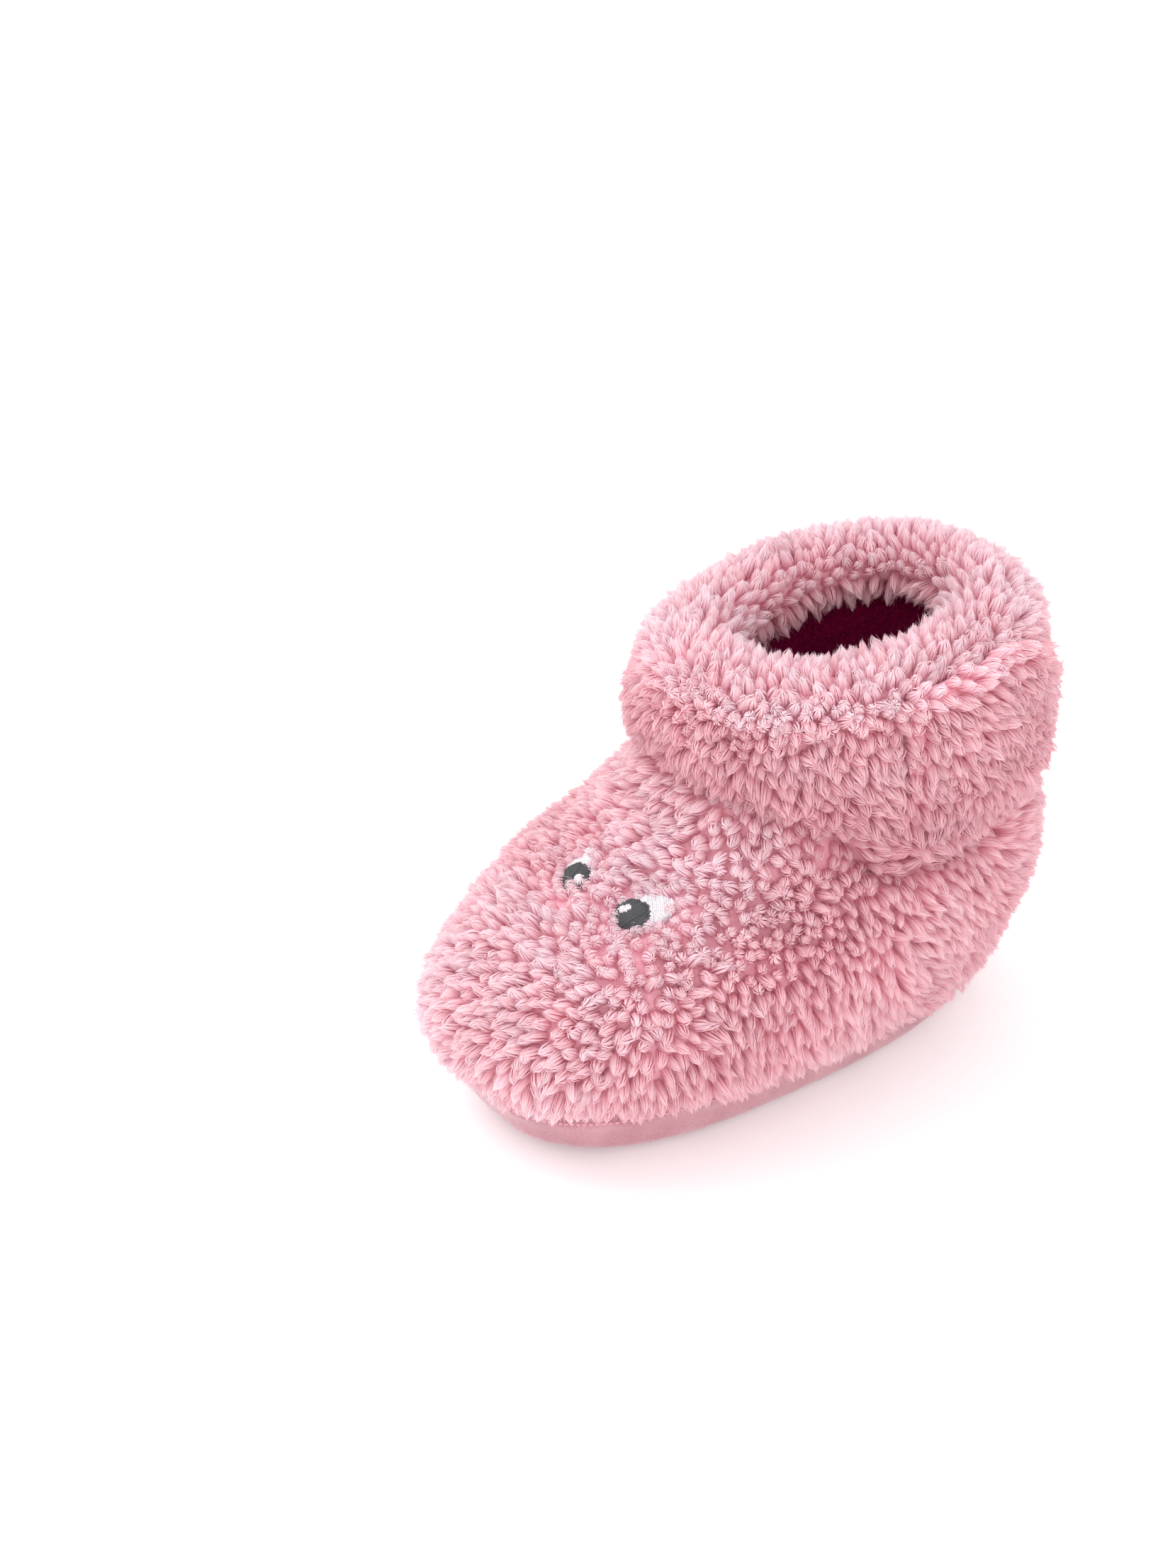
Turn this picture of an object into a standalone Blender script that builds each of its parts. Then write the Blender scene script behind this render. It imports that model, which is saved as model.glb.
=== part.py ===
"""One baby bootie: sherpa uppers in layers over a soft sole, with a side flap that opens on a hinge.

Lengths are in millimetres until a mesh is made. +Z is up, the toe points along -Y and the closure is on +X.
A place on the wall is (turn, rise): turn is the angle from the toe towards +X, and rise goes from 0 at the
ground to 1 at the foot of the rim roll, to 1.5 on the inner side of the roll, and on down the inside.
"""

import math

import bmesh
import bpy
import numpy as np

MM = 0.001
COLLECTION = "baby_bootie"
CUTTERS = "baby_bootie_cutters"

# Sections of the wall: rise, front y, front z, back y, back z, half width, widest share, squareness
SECTIONS = np.array(
    [
        (0.000, -57.0, 1.0, 55.0, 1.0, 25.0, 0.42, 2.6),
        (0.035, -63.0, 4.0, 60.0, 4.0, 27.3, 0.42, 2.6),
        (0.070, -66.0, 9.0, 62.0, 9.0, 28.5, 0.42, 2.6),
        (0.170, -75.0, 24.5, 67.5, 23.5, 38.0, 0.42, 2.4),
        (0.300, -63.0, 43.0, 73.0, 37.0, 41.5, 0.47, 2.2),
        (0.440, -40.0, 54.0, 71.5, 52.0, 39.5, 0.50, 2.1),
        (0.560, -26.0, 65.0, 67.0, 62.0, 36.3, 0.49, 2.1),
        (0.660, -22.5, 74.0, 66.5, 72.0, 38.6, 0.51, 2.1),
        (0.840, -24.5, 82.5, 66.0, 87.0, 38.5, 0.50, 2.1),
        (1.000, -23.5, 89.0, 65.0, 98.5, 36.8, 0.51, 2.1),
    ]
)
# Height of the ankle seam round the wall: turn in degrees, rise
ANKLE_SEAM = np.array(
    [
        (0.0, 0.645),
        (30.0, 0.630),
        (60.0, 0.572),
        (81.0, 0.490),
        (100.0, 0.500),
        (125.0, 0.570),
        (150.0, 0.620),
        (180.0, 0.635),
    ]
)
SIDE_SEAM_TOP = 81.0  # turn where the side seam meets the ankle seam
SIDE_SEAM_FOOT = 112.0  # turn where it meets the sole
UPPER_FOOT = 0.082  # rise of the uppers' lower edge, just over the sole
INNER_TOP = 0.975  # rise where padding and lining end, under the roll

ROLL_REACH = 9.0  # half of the rim's thickness
ROLL_RISE = 7.5  # height of the roll over its foot
CREST_SEAM = 1.26  # rise where outer panels and facing meet on the roll
FACING_END = 1.58
FACING_SHARE = 0.7  # wall rise covered per unit of facing rise
FACING_THIN = 0.8  # how much thinner the facing is than the other fleece
FACING_PANELS = {
    "facing_front": 0.0,
    "facing_lateral": 90.0,
    "facing_back": 180.0,
    "facing_medial": 270.0,
}

FLEECE = 6.8
PADDING = 1.8
LINING = 0.8
LAYER_GAP = 0.4
SOLE_SHARE = 0.55  # how far the layers thin towards the sole
SEAM_DIP = 2.2
SEAM_WIDTH = 0.16  # share of a panel over which it rounds off
GAP_TURN = 0.7  # degrees left at each side of a seam
GAP_RISE = 0.004

SHAFT_MEDIAL = -97.5  # turn of the seam between the shaft's front and back panels
HINGE_TURN = 75.0
FLAP_END = 152.0
FLAP_OUT = 2.5
FLAP_FLEECE_IN = 1.6
FLAP_LINING_TOP = 2.0
FLAP_LINING_IN = 2.8
FLAP_UNDER = 3.6  # depth of the back panel under the flap
FLAP_LIFT = 0.035  # rise between ankle seam and flap
FLAP_TOP = 1.12
FLAP_TOP_TURN = 104.0  # turn where its top edge starts to fall
FLAP_TOP_END = 0.80
HOOK_DEPTH = (3.1, 3.9)
LOOP_DEPTH = (4.2, 5.0)
POCKET_DEPTH = 5.35
PATCH_TURN = (102.0, 138.0)
PATCH_RISE = (0.71, 0.90)

OUTSOLE_Z = (0.8, 2.4)
MIDSOLE_Z = (2.7, 8.0)
BOARD_Z = (8.3, 9.5)
INSOLE_Z = (9.8, 13.0)
WRAP_THICK = 1.2
WRAP_TOP = 0.07
SOLE_INSET = 1.6
INSOLE_INSET = 7.0
INSOLE_DISH = 0.8
DOT_RADIUS = 2.3
DOT_SLOPE = 0.4
DOT_PITCH = 9.5
DOT_SIDES = 8
DOT_MARGIN = 6.0
DOT_TOP = 1.4

EYE_RISE = 0.431
EYE_TURNS = {"lateral": 17.5, "medial": -10.5}
EYE_SLANT = 0.9  # radians from straight out towards the ankle
WHITE_HALF = (6.8, 4.1)
PUPIL_HALF = (3.9, 3.6)
PUPIL_SHIFT = -2.3
GLINT_HALF = (1.3, 1.0)
GLINT_SHIFT = (-3.2, 1.5)
THREAD = 0.8
THREAD_GAP = 0.3

COLUMNS = 48
WALL_ROWS = 9
ROLL_ROWS = 4
FACING_ROWS = 8
FOOT_ROWS = 11
VAMP_COLUMNS = 21
HEEL_COLUMNS = 19
OVAL_SIDES = 18


def clear_scene():
    for obj in list(bpy.data.objects):
        bpy.data.objects.remove(obj, do_unlink=True)


def smoothstep(low, high, value):
    share = np.clip((value - low) / (high - low), 0.0, 1.0)
    return share * share * (3.0 - 2.0 * share)


def smooth_rows(places, rows, at):
    """A cubic through the rows that doesn't overshoot between them."""
    step = np.diff(places)[:, None]
    slope = np.diff(rows, axis=0) / step
    before, after = slope[:-1], slope[1:]
    near, far = 2 * step[1:] + step[:-1], step[1:] + 2 * step[:-1]
    safe_before = np.where(before == 0, 1.0, before)
    safe_after = np.where(after == 0, 1.0, after)
    weighted = near / safe_before + far / safe_after
    mean = (near + far) / np.where(weighted == 0, 1.0, weighted)
    grade = np.empty_like(rows)
    grade[1:-1] = np.where(before * after > 0, mean, 0.0)
    grade[0], grade[-1] = slope[0], slope[-1]
    index = np.clip(np.searchsorted(places, at, side="right") - 1, 0, len(places) - 2)
    width = (places[index + 1] - places[index])[..., None]
    t = (at - places[index])[..., None] / width
    return (
        rows[index] * (1 + 2 * t) * (1 - t) ** 2
        + rows[index + 1] * t * t * (3 - 2 * t)
        + grade[index] * width * t * (1 - t) ** 2
        - grade[index + 1] * width * t * t * (1 - t)
    )


def wall(turn, rise):
    """The outer wall up to the foot of the roll, for turns in degrees."""
    row = smooth_rows(SECTIONS[:, 0], SECTIONS[:, 1:], np.clip(rise, 0.0, 1.0))
    front_y, front_z, back_y, back_z, half, widest, square = np.moveaxis(row, -1, 0)
    sine, cosine = np.sin(np.radians(turn)), np.cos(np.radians(turn))
    power = 2.0 / square
    x = half * np.sign(sine) * np.abs(sine) ** power
    along = -np.sign(cosine) * np.abs(cosine) ** power
    share = widest + np.where(along < 0, widest, 1 - widest) * along
    y = front_y + (back_y - front_y) * share
    z = front_z + (back_z - front_z) * share
    return np.stack([x, y, z], -1)


def unit(vectors):
    return vectors / np.linalg.norm(vectors, axis=-1, keepdims=True)


def wall_normal(turn, rise):
    rise = np.clip(rise, 0.002, 0.998)
    across = wall(turn + 1.5, rise) - wall(turn - 1.5, rise)
    up = wall(turn, rise + 0.002) - wall(turn, rise - 0.002)
    return unit(np.cross(across, up))


def skin(turn, rise):
    """The outer surface of the whole shell: wall, roll, then facing."""
    turn, rise = np.broadcast_arrays(np.asarray(turn, float), np.asarray(rise, float))
    foot = wall(turn, np.ones_like(rise))
    out = wall_normal(turn, np.ones_like(rise))
    up = unit(foot - wall(turn, np.full_like(rise, 0.99)))
    angle = math.pi * np.clip(rise - 1.0, 0.0, 0.5)[..., None] / 0.5
    rolled = foot - out * ROLL_REACH * (1 - np.cos(angle)) + up * ROLL_RISE * np.sin(angle)
    lower = 1.0 - np.clip(rise - 1.5, 0.0, 1.0) * FACING_SHARE
    inside = wall(turn, lower) - 2 * ROLL_REACH * wall_normal(turn, lower)
    rise = rise[..., None]
    return np.where(rise <= 1.0, wall(turn, rise[..., 0]), np.where(rise <= 1.5, rolled, inside))


def outward(turn, rise):
    """The surface's unit normal, turned level towards the sole so that lower edges lie flat on it."""
    turn, rise = np.broadcast_arrays(np.asarray(turn, float), np.asarray(rise, float))
    across = skin(turn + 1.5, rise) - skin(turn - 1.5, rise)
    up = skin(turn, rise + 0.004) - skin(turn, np.maximum(rise - 0.004, 0.0))
    normal = unit(np.cross(across, up))
    normal[..., 2] *= smoothstep(0.07, 0.22, rise)
    return unit(normal)


def at_depth(turn, rise, depth):
    return skin(turn, rise) - outward(turn, rise) * np.asarray(depth)[..., None]


def thinning(rise):
    return SOLE_SHARE + (1 - SOLE_SHARE) * smoothstep(0.07, 0.26, rise)


def layer_depths(rise):
    """Depths of fleece, padding and lining: (outer, inner) of each."""
    thin = thinning(rise)
    fleece = FLEECE * thin
    padding = fleece + LAYER_GAP
    padding_in = padding + PADDING * thin
    lining = padding_in + LAYER_GAP
    return {
        "fleece": (np.zeros_like(fleece), fleece),
        "padding": (padding, padding_in),
        "lining": (lining, lining + LINING),
    }


def ankle_rise(turn):
    folded = np.abs((np.asarray(turn, float) + 180.0) % 360.0 - 180.0)
    return smooth_rows(ANKLE_SEAM[:, 0], ANKLE_SEAM[:, 1:], folded)[..., 0]


def side_seam(share):
    """Turn of the side seam, from the sole (0) to the ankle seam (1)."""
    return SIDE_SEAM_FOOT + (SIDE_SEAM_TOP - SIDE_SEAM_FOOT) * smoothstep(0.1, 1.0, share)


def own_collection(name, hidden):
    made = bpy.data.collections.get(name)
    if made is None:
        made = bpy.data.collections.new(name)
        bpy.context.scene.collection.children.link(made)
        made.hide_render = hidden
    return made


def add_object(name, points, faces, material):
    mesh = bpy.data.meshes.new(name)
    mesh.from_pydata([tuple(p) for p in np.asarray(points) * MM], [], faces)
    shape = bmesh.new()
    shape.from_mesh(mesh)
    bmesh.ops.recalc_face_normals(shape, faces=shape.faces)
    shape.to_mesh(mesh)
    shape.free()
    obj = bpy.data.objects.new(name, mesh)
    mesh.materials.append(material)
    own_collection(COLLECTION, False).objects.link(obj)
    return obj


def grid_faces(rows, columns, ring):
    """Faces of a closed shell between an outer and an inner grid of points."""
    base = rows * columns
    faces = []
    last = columns if ring else columns - 1
    for row in range(rows - 1):
        for column in range(last):
            a, b = row * columns + column, row * columns + (column + 1) % columns
            # Every layer splits its squares the same way, so that neighbours stay parallel.
            for one, two, three in ((a, b, b + columns), (a, b + columns, a + columns)):
                faces.append((one, two, three))
                faces.append((base + three, base + two, base + one))
    top = base - columns
    for column in range(last):
        after = (column + 1) % columns
        faces.append((column, base + column, base + after, after))
        faces.append((top + column, top + after, base + top + after, base + top + column))
    if not ring:
        for row in range(rows - 1):
            a, b = row * columns, (row + 1) * columns
            faces.append((a, b, base + b, base + a))
            a, b = a + columns - 1, b + columns - 1
            faces.append((a, base + a, base + b, b))
    return faces


def shell(name, turn, rise, outer, inner, material, ring=False):
    """A panel with thickness over a grid of places on the wall."""
    points = np.concatenate(
        [at_depth(turn, rise, outer).reshape(-1, 3), at_depth(turn, rise, inner).reshape(-1, 3)]
    )
    return add_object(name, points, grid_faces(*turn.shape, ring), material)


def shares(count):
    return np.linspace(0.0, 1.0, count)


def edge_dip(across, along):
    """0 inside a panel, rising to 1 at its edges, to round the pile off towards the seams."""
    edge = np.minimum(np.minimum(across, 1 - across), np.minimum(along, 1 - along))
    return (1 - np.clip(edge / SEAM_WIDTH, 0.0, 1.0)) ** 2


def panel_grid(start, end, floor, ceiling, columns, rows):
    """Turns and rises of a panel. start and end give the turn at each share of the height."""
    along, across = np.meshgrid(shares(rows), shares(columns), indexing="ij")
    turn = start(along) + (end(along) - start(along)) * across
    top_turn = start(np.ones_like(along)) + (end(np.ones_like(along)) - start(np.ones_like(along))) * across
    low, high = floor(top_turn), ceiling(top_turn)
    return turn, low + (high - low) * along, across, along


def vamp_grid(columns, rows):
    def lateral(share):
        return side_seam(share) - GAP_TURN

    return panel_grid(
        lambda share: -lateral(share),
        lateral,
        lambda turn: np.full_like(turn, UPPER_FOOT),
        lambda turn: ankle_rise(turn) - GAP_RISE,
        columns,
        rows,
    )


def heel_grid(columns, rows):
    def lateral(share):
        return side_seam(share) + GAP_TURN

    return panel_grid(
        lateral,
        lambda share: 360.0 - lateral(share),
        lambda turn: np.full_like(turn, UPPER_FOOT),
        lambda turn: ankle_rise(turn) - GAP_RISE,
        columns,
        rows,
    )


def shaft_grid(turns, above):
    """Rows from the ankle seam to the foot of the roll, the same for every layer, then the rises above it."""
    row, turn = np.meshgrid(np.arange(WALL_ROWS + len(above)), turns, indexing="ij")
    low = ankle_rise(turn) + GAP_RISE
    share = np.minimum(row / (WALL_ROWS - 1.0), 1.0)
    rise = low + (1.0 - low) * share
    for index, height in enumerate(above):
        rise[WALL_ROWS + index] = height
    across = (turn - turn[:, :1]) / (turn[:, -1:] - turn[:, :1])
    return turn, rise, across, row / (WALL_ROWS + len(above) - 1.0)


def seam_turns(start, end):
    """Columns at the ring's own turns, with the two ends drawn in by the seam's gap."""
    count = int(round((end - start) * COLUMNS / 360.0)) + 1
    turns = np.linspace(start, end, count)
    turns[0] += GAP_TURN
    turns[-1] -= GAP_TURN
    return turns


def make_foot_panels(pink, padding, lining):
    for part, grid, columns in (("vamp", vamp_grid, VAMP_COLUMNS), ("heel", heel_grid, HEEL_COLUMNS)):
        turn, rise, across, along = grid(columns, FOOT_ROWS)
        depths = layer_depths(rise)
        outer, inner = depths["fleece"]
        outer = outer + SEAM_DIP * thinning(rise) * edge_dip(across, along)
        name = {"vamp": "toe_vamp", "heel": "heel_quarter"}[part]
        shell(name, turn, rise, outer, inner, pink)
        shell(part + "_padding", turn, rise, *depths["padding"], padding)
        shell(part + "_lining", turn, rise, *depths["lining"], lining)


def flap_top(turn):
    """Rise of the flap's top edge, which falls towards its free end."""
    fall = smoothstep(FLAP_TOP_TURN, FLAP_END, turn)
    return FLAP_TOP + (FLAP_TOP_END - FLAP_TOP) * fall


def under_flap(turn, rise):
    """How far a place lies under the flap, 0 to 1, with a margin for the grid's coarseness."""
    turn = np.asarray(turn) % 360.0
    beside = smoothstep(FLAP_END + 18.0, FLAP_END + 7.0, turn)
    below = smoothstep(-0.045, 0.005, rise - ankle_rise(turn) - FLAP_LIFT + 0.05)
    above = smoothstep(0.13, 0.07, rise - flap_top(turn))
    return beside * np.maximum(below, 0.0) * above


def in_pocket(turn, rise):
    margin_turn, margin_rise = 9.0, 0.055
    side = smoothstep(PATCH_TURN[0] - 2 * margin_turn, PATCH_TURN[0] - margin_turn, turn)
    side = side * smoothstep(PATCH_TURN[1] + 2 * margin_turn, PATCH_TURN[1] + margin_turn, turn)
    level = smoothstep(PATCH_RISE[0] - 2 * margin_rise, PATCH_RISE[0] - margin_rise, rise)
    return side * level * smoothstep(PATCH_RISE[1] + 2 * margin_rise, PATCH_RISE[1] + margin_rise, rise)


def make_shaft_panels(pink):
    rolled = np.linspace(1.0, CREST_SEAM - GAP_RISE, ROLL_ROWS + 1)[1:]
    turn, rise, across, along = shaft_grid(seam_turns(SHAFT_MEDIAL, HINGE_TURN), rolled)
    dip = SEAM_DIP * edge_dip(across, np.minimum(along, 0.5))
    shell("shaft_front", turn, rise, dip, layer_depths(rise)["fleece"][1], pink)
    turn, rise, across, along = shaft_grid(seam_turns(HINGE_TURN, 360.0 + SHAFT_MEDIAL), rolled)
    dip = SEAM_DIP * edge_dip(np.maximum(across, 0.5), np.minimum(along, 0.5))
    covered = FLAP_UNDER * under_flap(turn, rise)
    covered = covered + (POCKET_DEPTH - FLAP_UNDER) * in_pocket(turn, rise)
    outer = np.maximum(dip, covered)
    shell("shaft_back", turn, rise, outer, layer_depths(rise)["fleece"][1], pink)


def make_shaft_inside(padding, lining):
    ring_turn = np.linspace(0.0, 360.0, COLUMNS, endpoint=False)
    for name, kind, material in (
        ("shaft_padding", "padding", padding),
        ("shaft_lining", "lining", lining),
    ):
        turn, rise, _, _ = shaft_grid(ring_turn, ())
        rise = np.minimum(rise, INNER_TOP)
        shell(name, turn, rise, *layer_depths(rise)[kind], material, ring=True)


def make_facing(pink):
    """The collar facing's four panels, each a quarter of the ring."""
    for name, middle in FACING_PANELS.items():
        quarter = seam_turns(middle - 45.0, middle + 45.0)
        along, turn = np.meshgrid(shares(FACING_ROWS), quarter, indexing="ij")
        rise = CREST_SEAM + GAP_RISE + (FACING_END - CREST_SEAM - GAP_RISE) * along
        tail = SEAM_DIP * smoothstep(0.8, 1.0, along)
        shell(name, turn, rise, tail, np.full_like(rise, FLEECE - FACING_THIN), pink)


def flap_grid(columns, rows, inset):
    """Places on the flap; inset is in degrees of turn, or the same length of rise."""
    along, across = np.meshgrid(shares(rows), shares(columns), indexing="ij")
    corner = 1.0 - 0.10 * np.abs(2 * along - 1) ** 3
    span = (FLAP_END - HINGE_TURN - GAP_TURN - inset) * corner
    turn = HINGE_TURN + GAP_TURN + span * across
    low = ankle_rise(turn) + FLAP_LIFT + inset * 0.006
    high = flap_top(turn) - inset * 0.006
    return turn, low + (high - low) * along, across, along


def make_flap(pink, plain):
    turn, rise, across, along = flap_grid(14, 11, 0.0)
    away = smoothstep(0.0, 0.16, across)
    rounded = edge_dip(np.maximum(across, 0.5), along)
    outer = -FLAP_OUT * away + (SEAM_DIP + 1.0) * rounded
    shell("closure_flap", turn, rise, outer, np.full_like(rise, FLAP_FLEECE_IN), pink)
    turn, rise, _, _ = flap_grid(14, 11, 1.5)
    top, under = np.full_like(rise, FLAP_LINING_TOP), np.full_like(rise, FLAP_LINING_IN)
    shell("flap_lining", turn, rise, top, under, plain)


def make_closure(hook, loop):
    for name, depth, material in (
        ("hook_patch", HOOK_DEPTH, hook),
        ("loop_patch", LOOP_DEPTH, loop),
    ):
        rise, turn = np.meshgrid(
            np.linspace(*PATCH_RISE, 6), np.linspace(*PATCH_TURN, 7), indexing="ij"
        )
        shell(name, turn, rise, np.full_like(rise, depth[0]), np.full_like(rise, depth[1]), material)


def sole_line(height, inset):
    """The sole's outline at a height, moved level inwards."""
    turn = np.linspace(0.0, 360.0, COLUMNS, endpoint=False)
    rise = np.interp(height, SECTIONS[:4, 2], SECTIONS[:4, 0])
    line = at_depth(turn, np.full_like(turn, rise), np.full_like(turn, inset))
    line[:, 2] = height
    return line


def stack(name, lines, material, dish=0.0):
    """A closed slab through outlines of equal length, one above the other."""
    count = len(lines[0])
    points = [line for line in lines]
    faces = [tuple(range(count - 1, -1, -1))]
    for level in range(len(lines) - 1):
        low = level * count
        for i in range(count):
            j = (i + 1) % count
            faces.append((low + i, low + j, low + count + j, low + count + i))
    top = (len(lines) - 1) * count
    if dish == 0.0:
        faces.append(tuple(range(top, top + count)))
        return add_object(name, np.concatenate(points), faces, material)
    centre = lines[-1].mean(axis=0)
    inner = centre + (lines[-1] - centre) * 0.6
    inner[:, 2] -= dish
    points.append(inner)
    points.append((centre - (0, 0, dish))[None])
    for i in range(count):
        j = (i + 1) % count
        faces.append((top + i, top + j, top + count + j, top + count + i))
        faces.append((top + count + i, top + count + j, top + 2 * count))
    return add_object(name, np.concatenate(points), faces, material)


def inside_line(line, x, y):
    """Whether a point is inside an outline, by counting crossings."""
    odd = False
    for (ax, ay, _), (bx, by, _) in zip(line, np.roll(line, -1, axis=0)):
        if (ay > y) != (by > y) and x < ax + (bx - ax) * (y - ay) / (by - ay):
            odd = not odd
    return odd


def grip_dots(material):
    """All the dots in one mesh, in rows that step by half a pitch."""
    edge = sole_line(OUTSOLE_Z[0] + 0.3, SOLE_INSET + DOT_MARGIN)
    points, faces = [], []
    row_pitch = DOT_PITCH * math.sqrt(3) / 2
    for row in range(-8, 9):
        for column in range(-4, 5):
            x = (column + 0.5 * (row % 2)) * DOT_PITCH
            y = row * row_pitch
            if not inside_line(edge, x, y):
                continue
            first = len(points)
            for radius, z in ((DOT_RADIUS, 0.0), (DOT_RADIUS + DOT_SLOPE, DOT_TOP)):
                for side in range(DOT_SIDES):
                    angle = math.tau * side / DOT_SIDES
                    points.append((x + radius * math.cos(angle), y + radius * math.sin(angle), z))
            faces.append(tuple(first + side for side in range(DOT_SIDES - 1, -1, -1)))
            faces.append(tuple(first + DOT_SIDES + side for side in range(DOT_SIDES)))
            for side in range(DOT_SIDES):
                after = (side + 1) % DOT_SIDES
                faces.append(
                    (first + side, first + after, first + DOT_SIDES + after, first + DOT_SIDES + side)
                )
    dots = add_object("grip_dots_tool", points, faces, material)
    own_collection(COLLECTION, False).objects.unlink(dots)
    own_collection(CUTTERS, True).objects.link(dots)
    dots.hide_render = True
    dots.display_type = "WIRE"
    return dots


def make_sole(rubber, foam, suede, board, footbed):
    def slab(name, heights, inset, material, dish=0.0):
        return stack(name, [sole_line(z, inset) for z in heights], material, dish)

    outsole = slab("grip_outsole", OUTSOLE_Z, SOLE_INSET, rubber)
    union = outsole.modifiers.new("dots", "BOOLEAN")
    union.operation = "UNION"
    union.solver = "EXACT"
    union.object = grip_dots(rubber)
    slab("midsole", (*np.linspace(*MIDSOLE_Z, 4),), SOLE_INSET, foam)
    slab("insole_board", BOARD_Z, SOLE_INSET, board)
    slab("insole", INSOLE_Z, INSOLE_INSET, footbed, INSOLE_DISH)
    rise, turn = np.meshgrid(
        np.linspace(0.0, WRAP_TOP, 5), np.linspace(0.0, 360.0, COLUMNS, endpoint=False), indexing="ij"
    )
    shell("sole_wrap", turn, rise, np.zeros_like(rise), np.full_like(rise, WRAP_THICK), suede, ring=True)


def stitched_oval(name, eye_turn, side, half, shift, level, material):
    """A thin oval lying on the vamp, level threads above its surface."""
    place = (np.array([eye_turn]), np.array([EYE_RISE]))
    step = 0.5
    across = np.linalg.norm(skin(place[0] + step, place[1]) - skin(place[0] - step, place[1])) / (2 * step)
    climb = 0.002
    up = np.linalg.norm(skin(place[0], place[1] + climb) - skin(place[0], place[1] - climb)) / (2 * climb)
    angle = np.linspace(0.0, math.tau, OVAL_SIDES, endpoint=False)
    rings = np.array([1.0, 0.5])[:, None]
    along = shift[0] + half[0] * rings * np.cos(angle)
    over = shift[1] + half[1] * rings * np.sin(angle)
    out = along * math.cos(EYE_SLANT) - over * math.sin(EYE_SLANT)
    rise = along * math.sin(EYE_SLANT) + over * math.cos(EYE_SLANT)
    turn = eye_turn + side * out / across
    height = EYE_RISE + rise / up
    low = -(THREAD_GAP + level * (THREAD + THREAD_GAP))
    top = at_depth(turn, height, np.full_like(turn, low - THREAD))
    under = at_depth(turn, height, np.full_like(turn, low))
    count = turn.shape[1]
    points = np.concatenate([top.reshape(-1, 3), under.reshape(-1, 3)])
    base = top.shape[0] * count
    faces = [tuple(range(base - count, base)), tuple(range(2 * base - 1, 2 * base - count - 1, -1))]
    for ring in range(top.shape[0] - 1):
        for i in range(count):
            a, b = ring * count + i, ring * count + (i + 1) % count
            faces.append((a, b, b + count, a + count))
            faces.append((base + a, base + a + count, base + b + count, base + b))
    for i in range(count):
        j = (i + 1) % count
        faces.append((i, base + i, base + j, j))
    return add_object(name, points, faces, material)


def make_eyes(white, charcoal):
    for label, eye_turn in EYE_TURNS.items():
        side = math.copysign(1.0, eye_turn)
        stitched_oval(f"{label}_eye_white", eye_turn, side, WHITE_HALF, (0.0, 0.0), 0, white)
        stitched_oval(
            f"{label}_eye_pupil", eye_turn, side, PUPIL_HALF, (PUPIL_SHIFT, 0.0), 1, charcoal
        )
        stitched_oval(f"{label}_eye_glint", eye_turn, side, GLINT_HALF, GLINT_SHIFT, 2, white)


def plain_material(name, colour, roughness):
    material = bpy.data.materials.new(name)
    material.use_nodes = True
    shader = material.node_tree.nodes["Principled BSDF"]
    shader.inputs["Base Color"].default_value = (*colour, 1.0)
    shader.inputs["Roughness"].default_value = roughness
    shader.inputs["Metallic"].default_value = 0.0
    material.diffuse_color = (*colour, 1.0)
    return material


def fleece_material():
    return plain_material("pink_sherpa", (0.83, 0.47, 0.54), 0.95)


def suede_material():
    return plain_material("pink_suede", (0.72, 0.33, 0.43), 0.85)


def padding_material():
    return plain_material("white_wadding", (0.86, 0.84, 0.82), 0.95)


def lining_material():
    return plain_material("maroon_lining", (0.13, 0.01, 0.04), 0.8)


def foam_material():
    return plain_material("soft_foam", (0.78, 0.62, 0.64), 0.9)


def rubber_material():
    return plain_material("grip_rubber", (0.70, 0.40, 0.47), 0.6)


def board_material():
    return plain_material("fibre_board", (0.52, 0.42, 0.32), 0.9)


def footbed_material():
    return plain_material("maroon_footbed", (0.16, 0.02, 0.05), 0.85)


def hook_material():
    return plain_material("hook_tape", (0.80, 0.50, 0.57), 0.6)


def loop_material():
    return plain_material("loop_tape", (0.78, 0.46, 0.54), 0.9)


def white_thread_material():
    return plain_material("white_thread", (0.86, 0.85, 0.86), 0.6)


def charcoal_thread_material():
    return plain_material("charcoal_thread", (0.045, 0.045, 0.05), 0.55)


def main():
    clear_scene()
    pink, padding, lining = fleece_material(), padding_material(), lining_material()
    make_sole(rubber_material(), foam_material(), suede_material(), board_material(), footbed_material())
    make_foot_panels(pink, padding, lining)
    make_shaft_panels(pink)
    make_shaft_inside(padding, lining)
    make_facing(pink)
    make_flap(pink, suede_material())
    make_closure(hook_material(), loop_material())
    make_eyes(white_thread_material(), charcoal_thread_material())


main()
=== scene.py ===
"""The baby bootie's looks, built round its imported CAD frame.

Lengths are in millimetres until a mesh is made. A place on the wall is (turn, rise), as in part.py:
turn is the angle in degrees from the toe towards +X, and rise runs from 0 at the ground over the rim
to the inside. A depth is measured inwards from the outer skin.
"""

import math

import bpy
import numpy as np
from mathutils import Matrix, Vector


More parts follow.
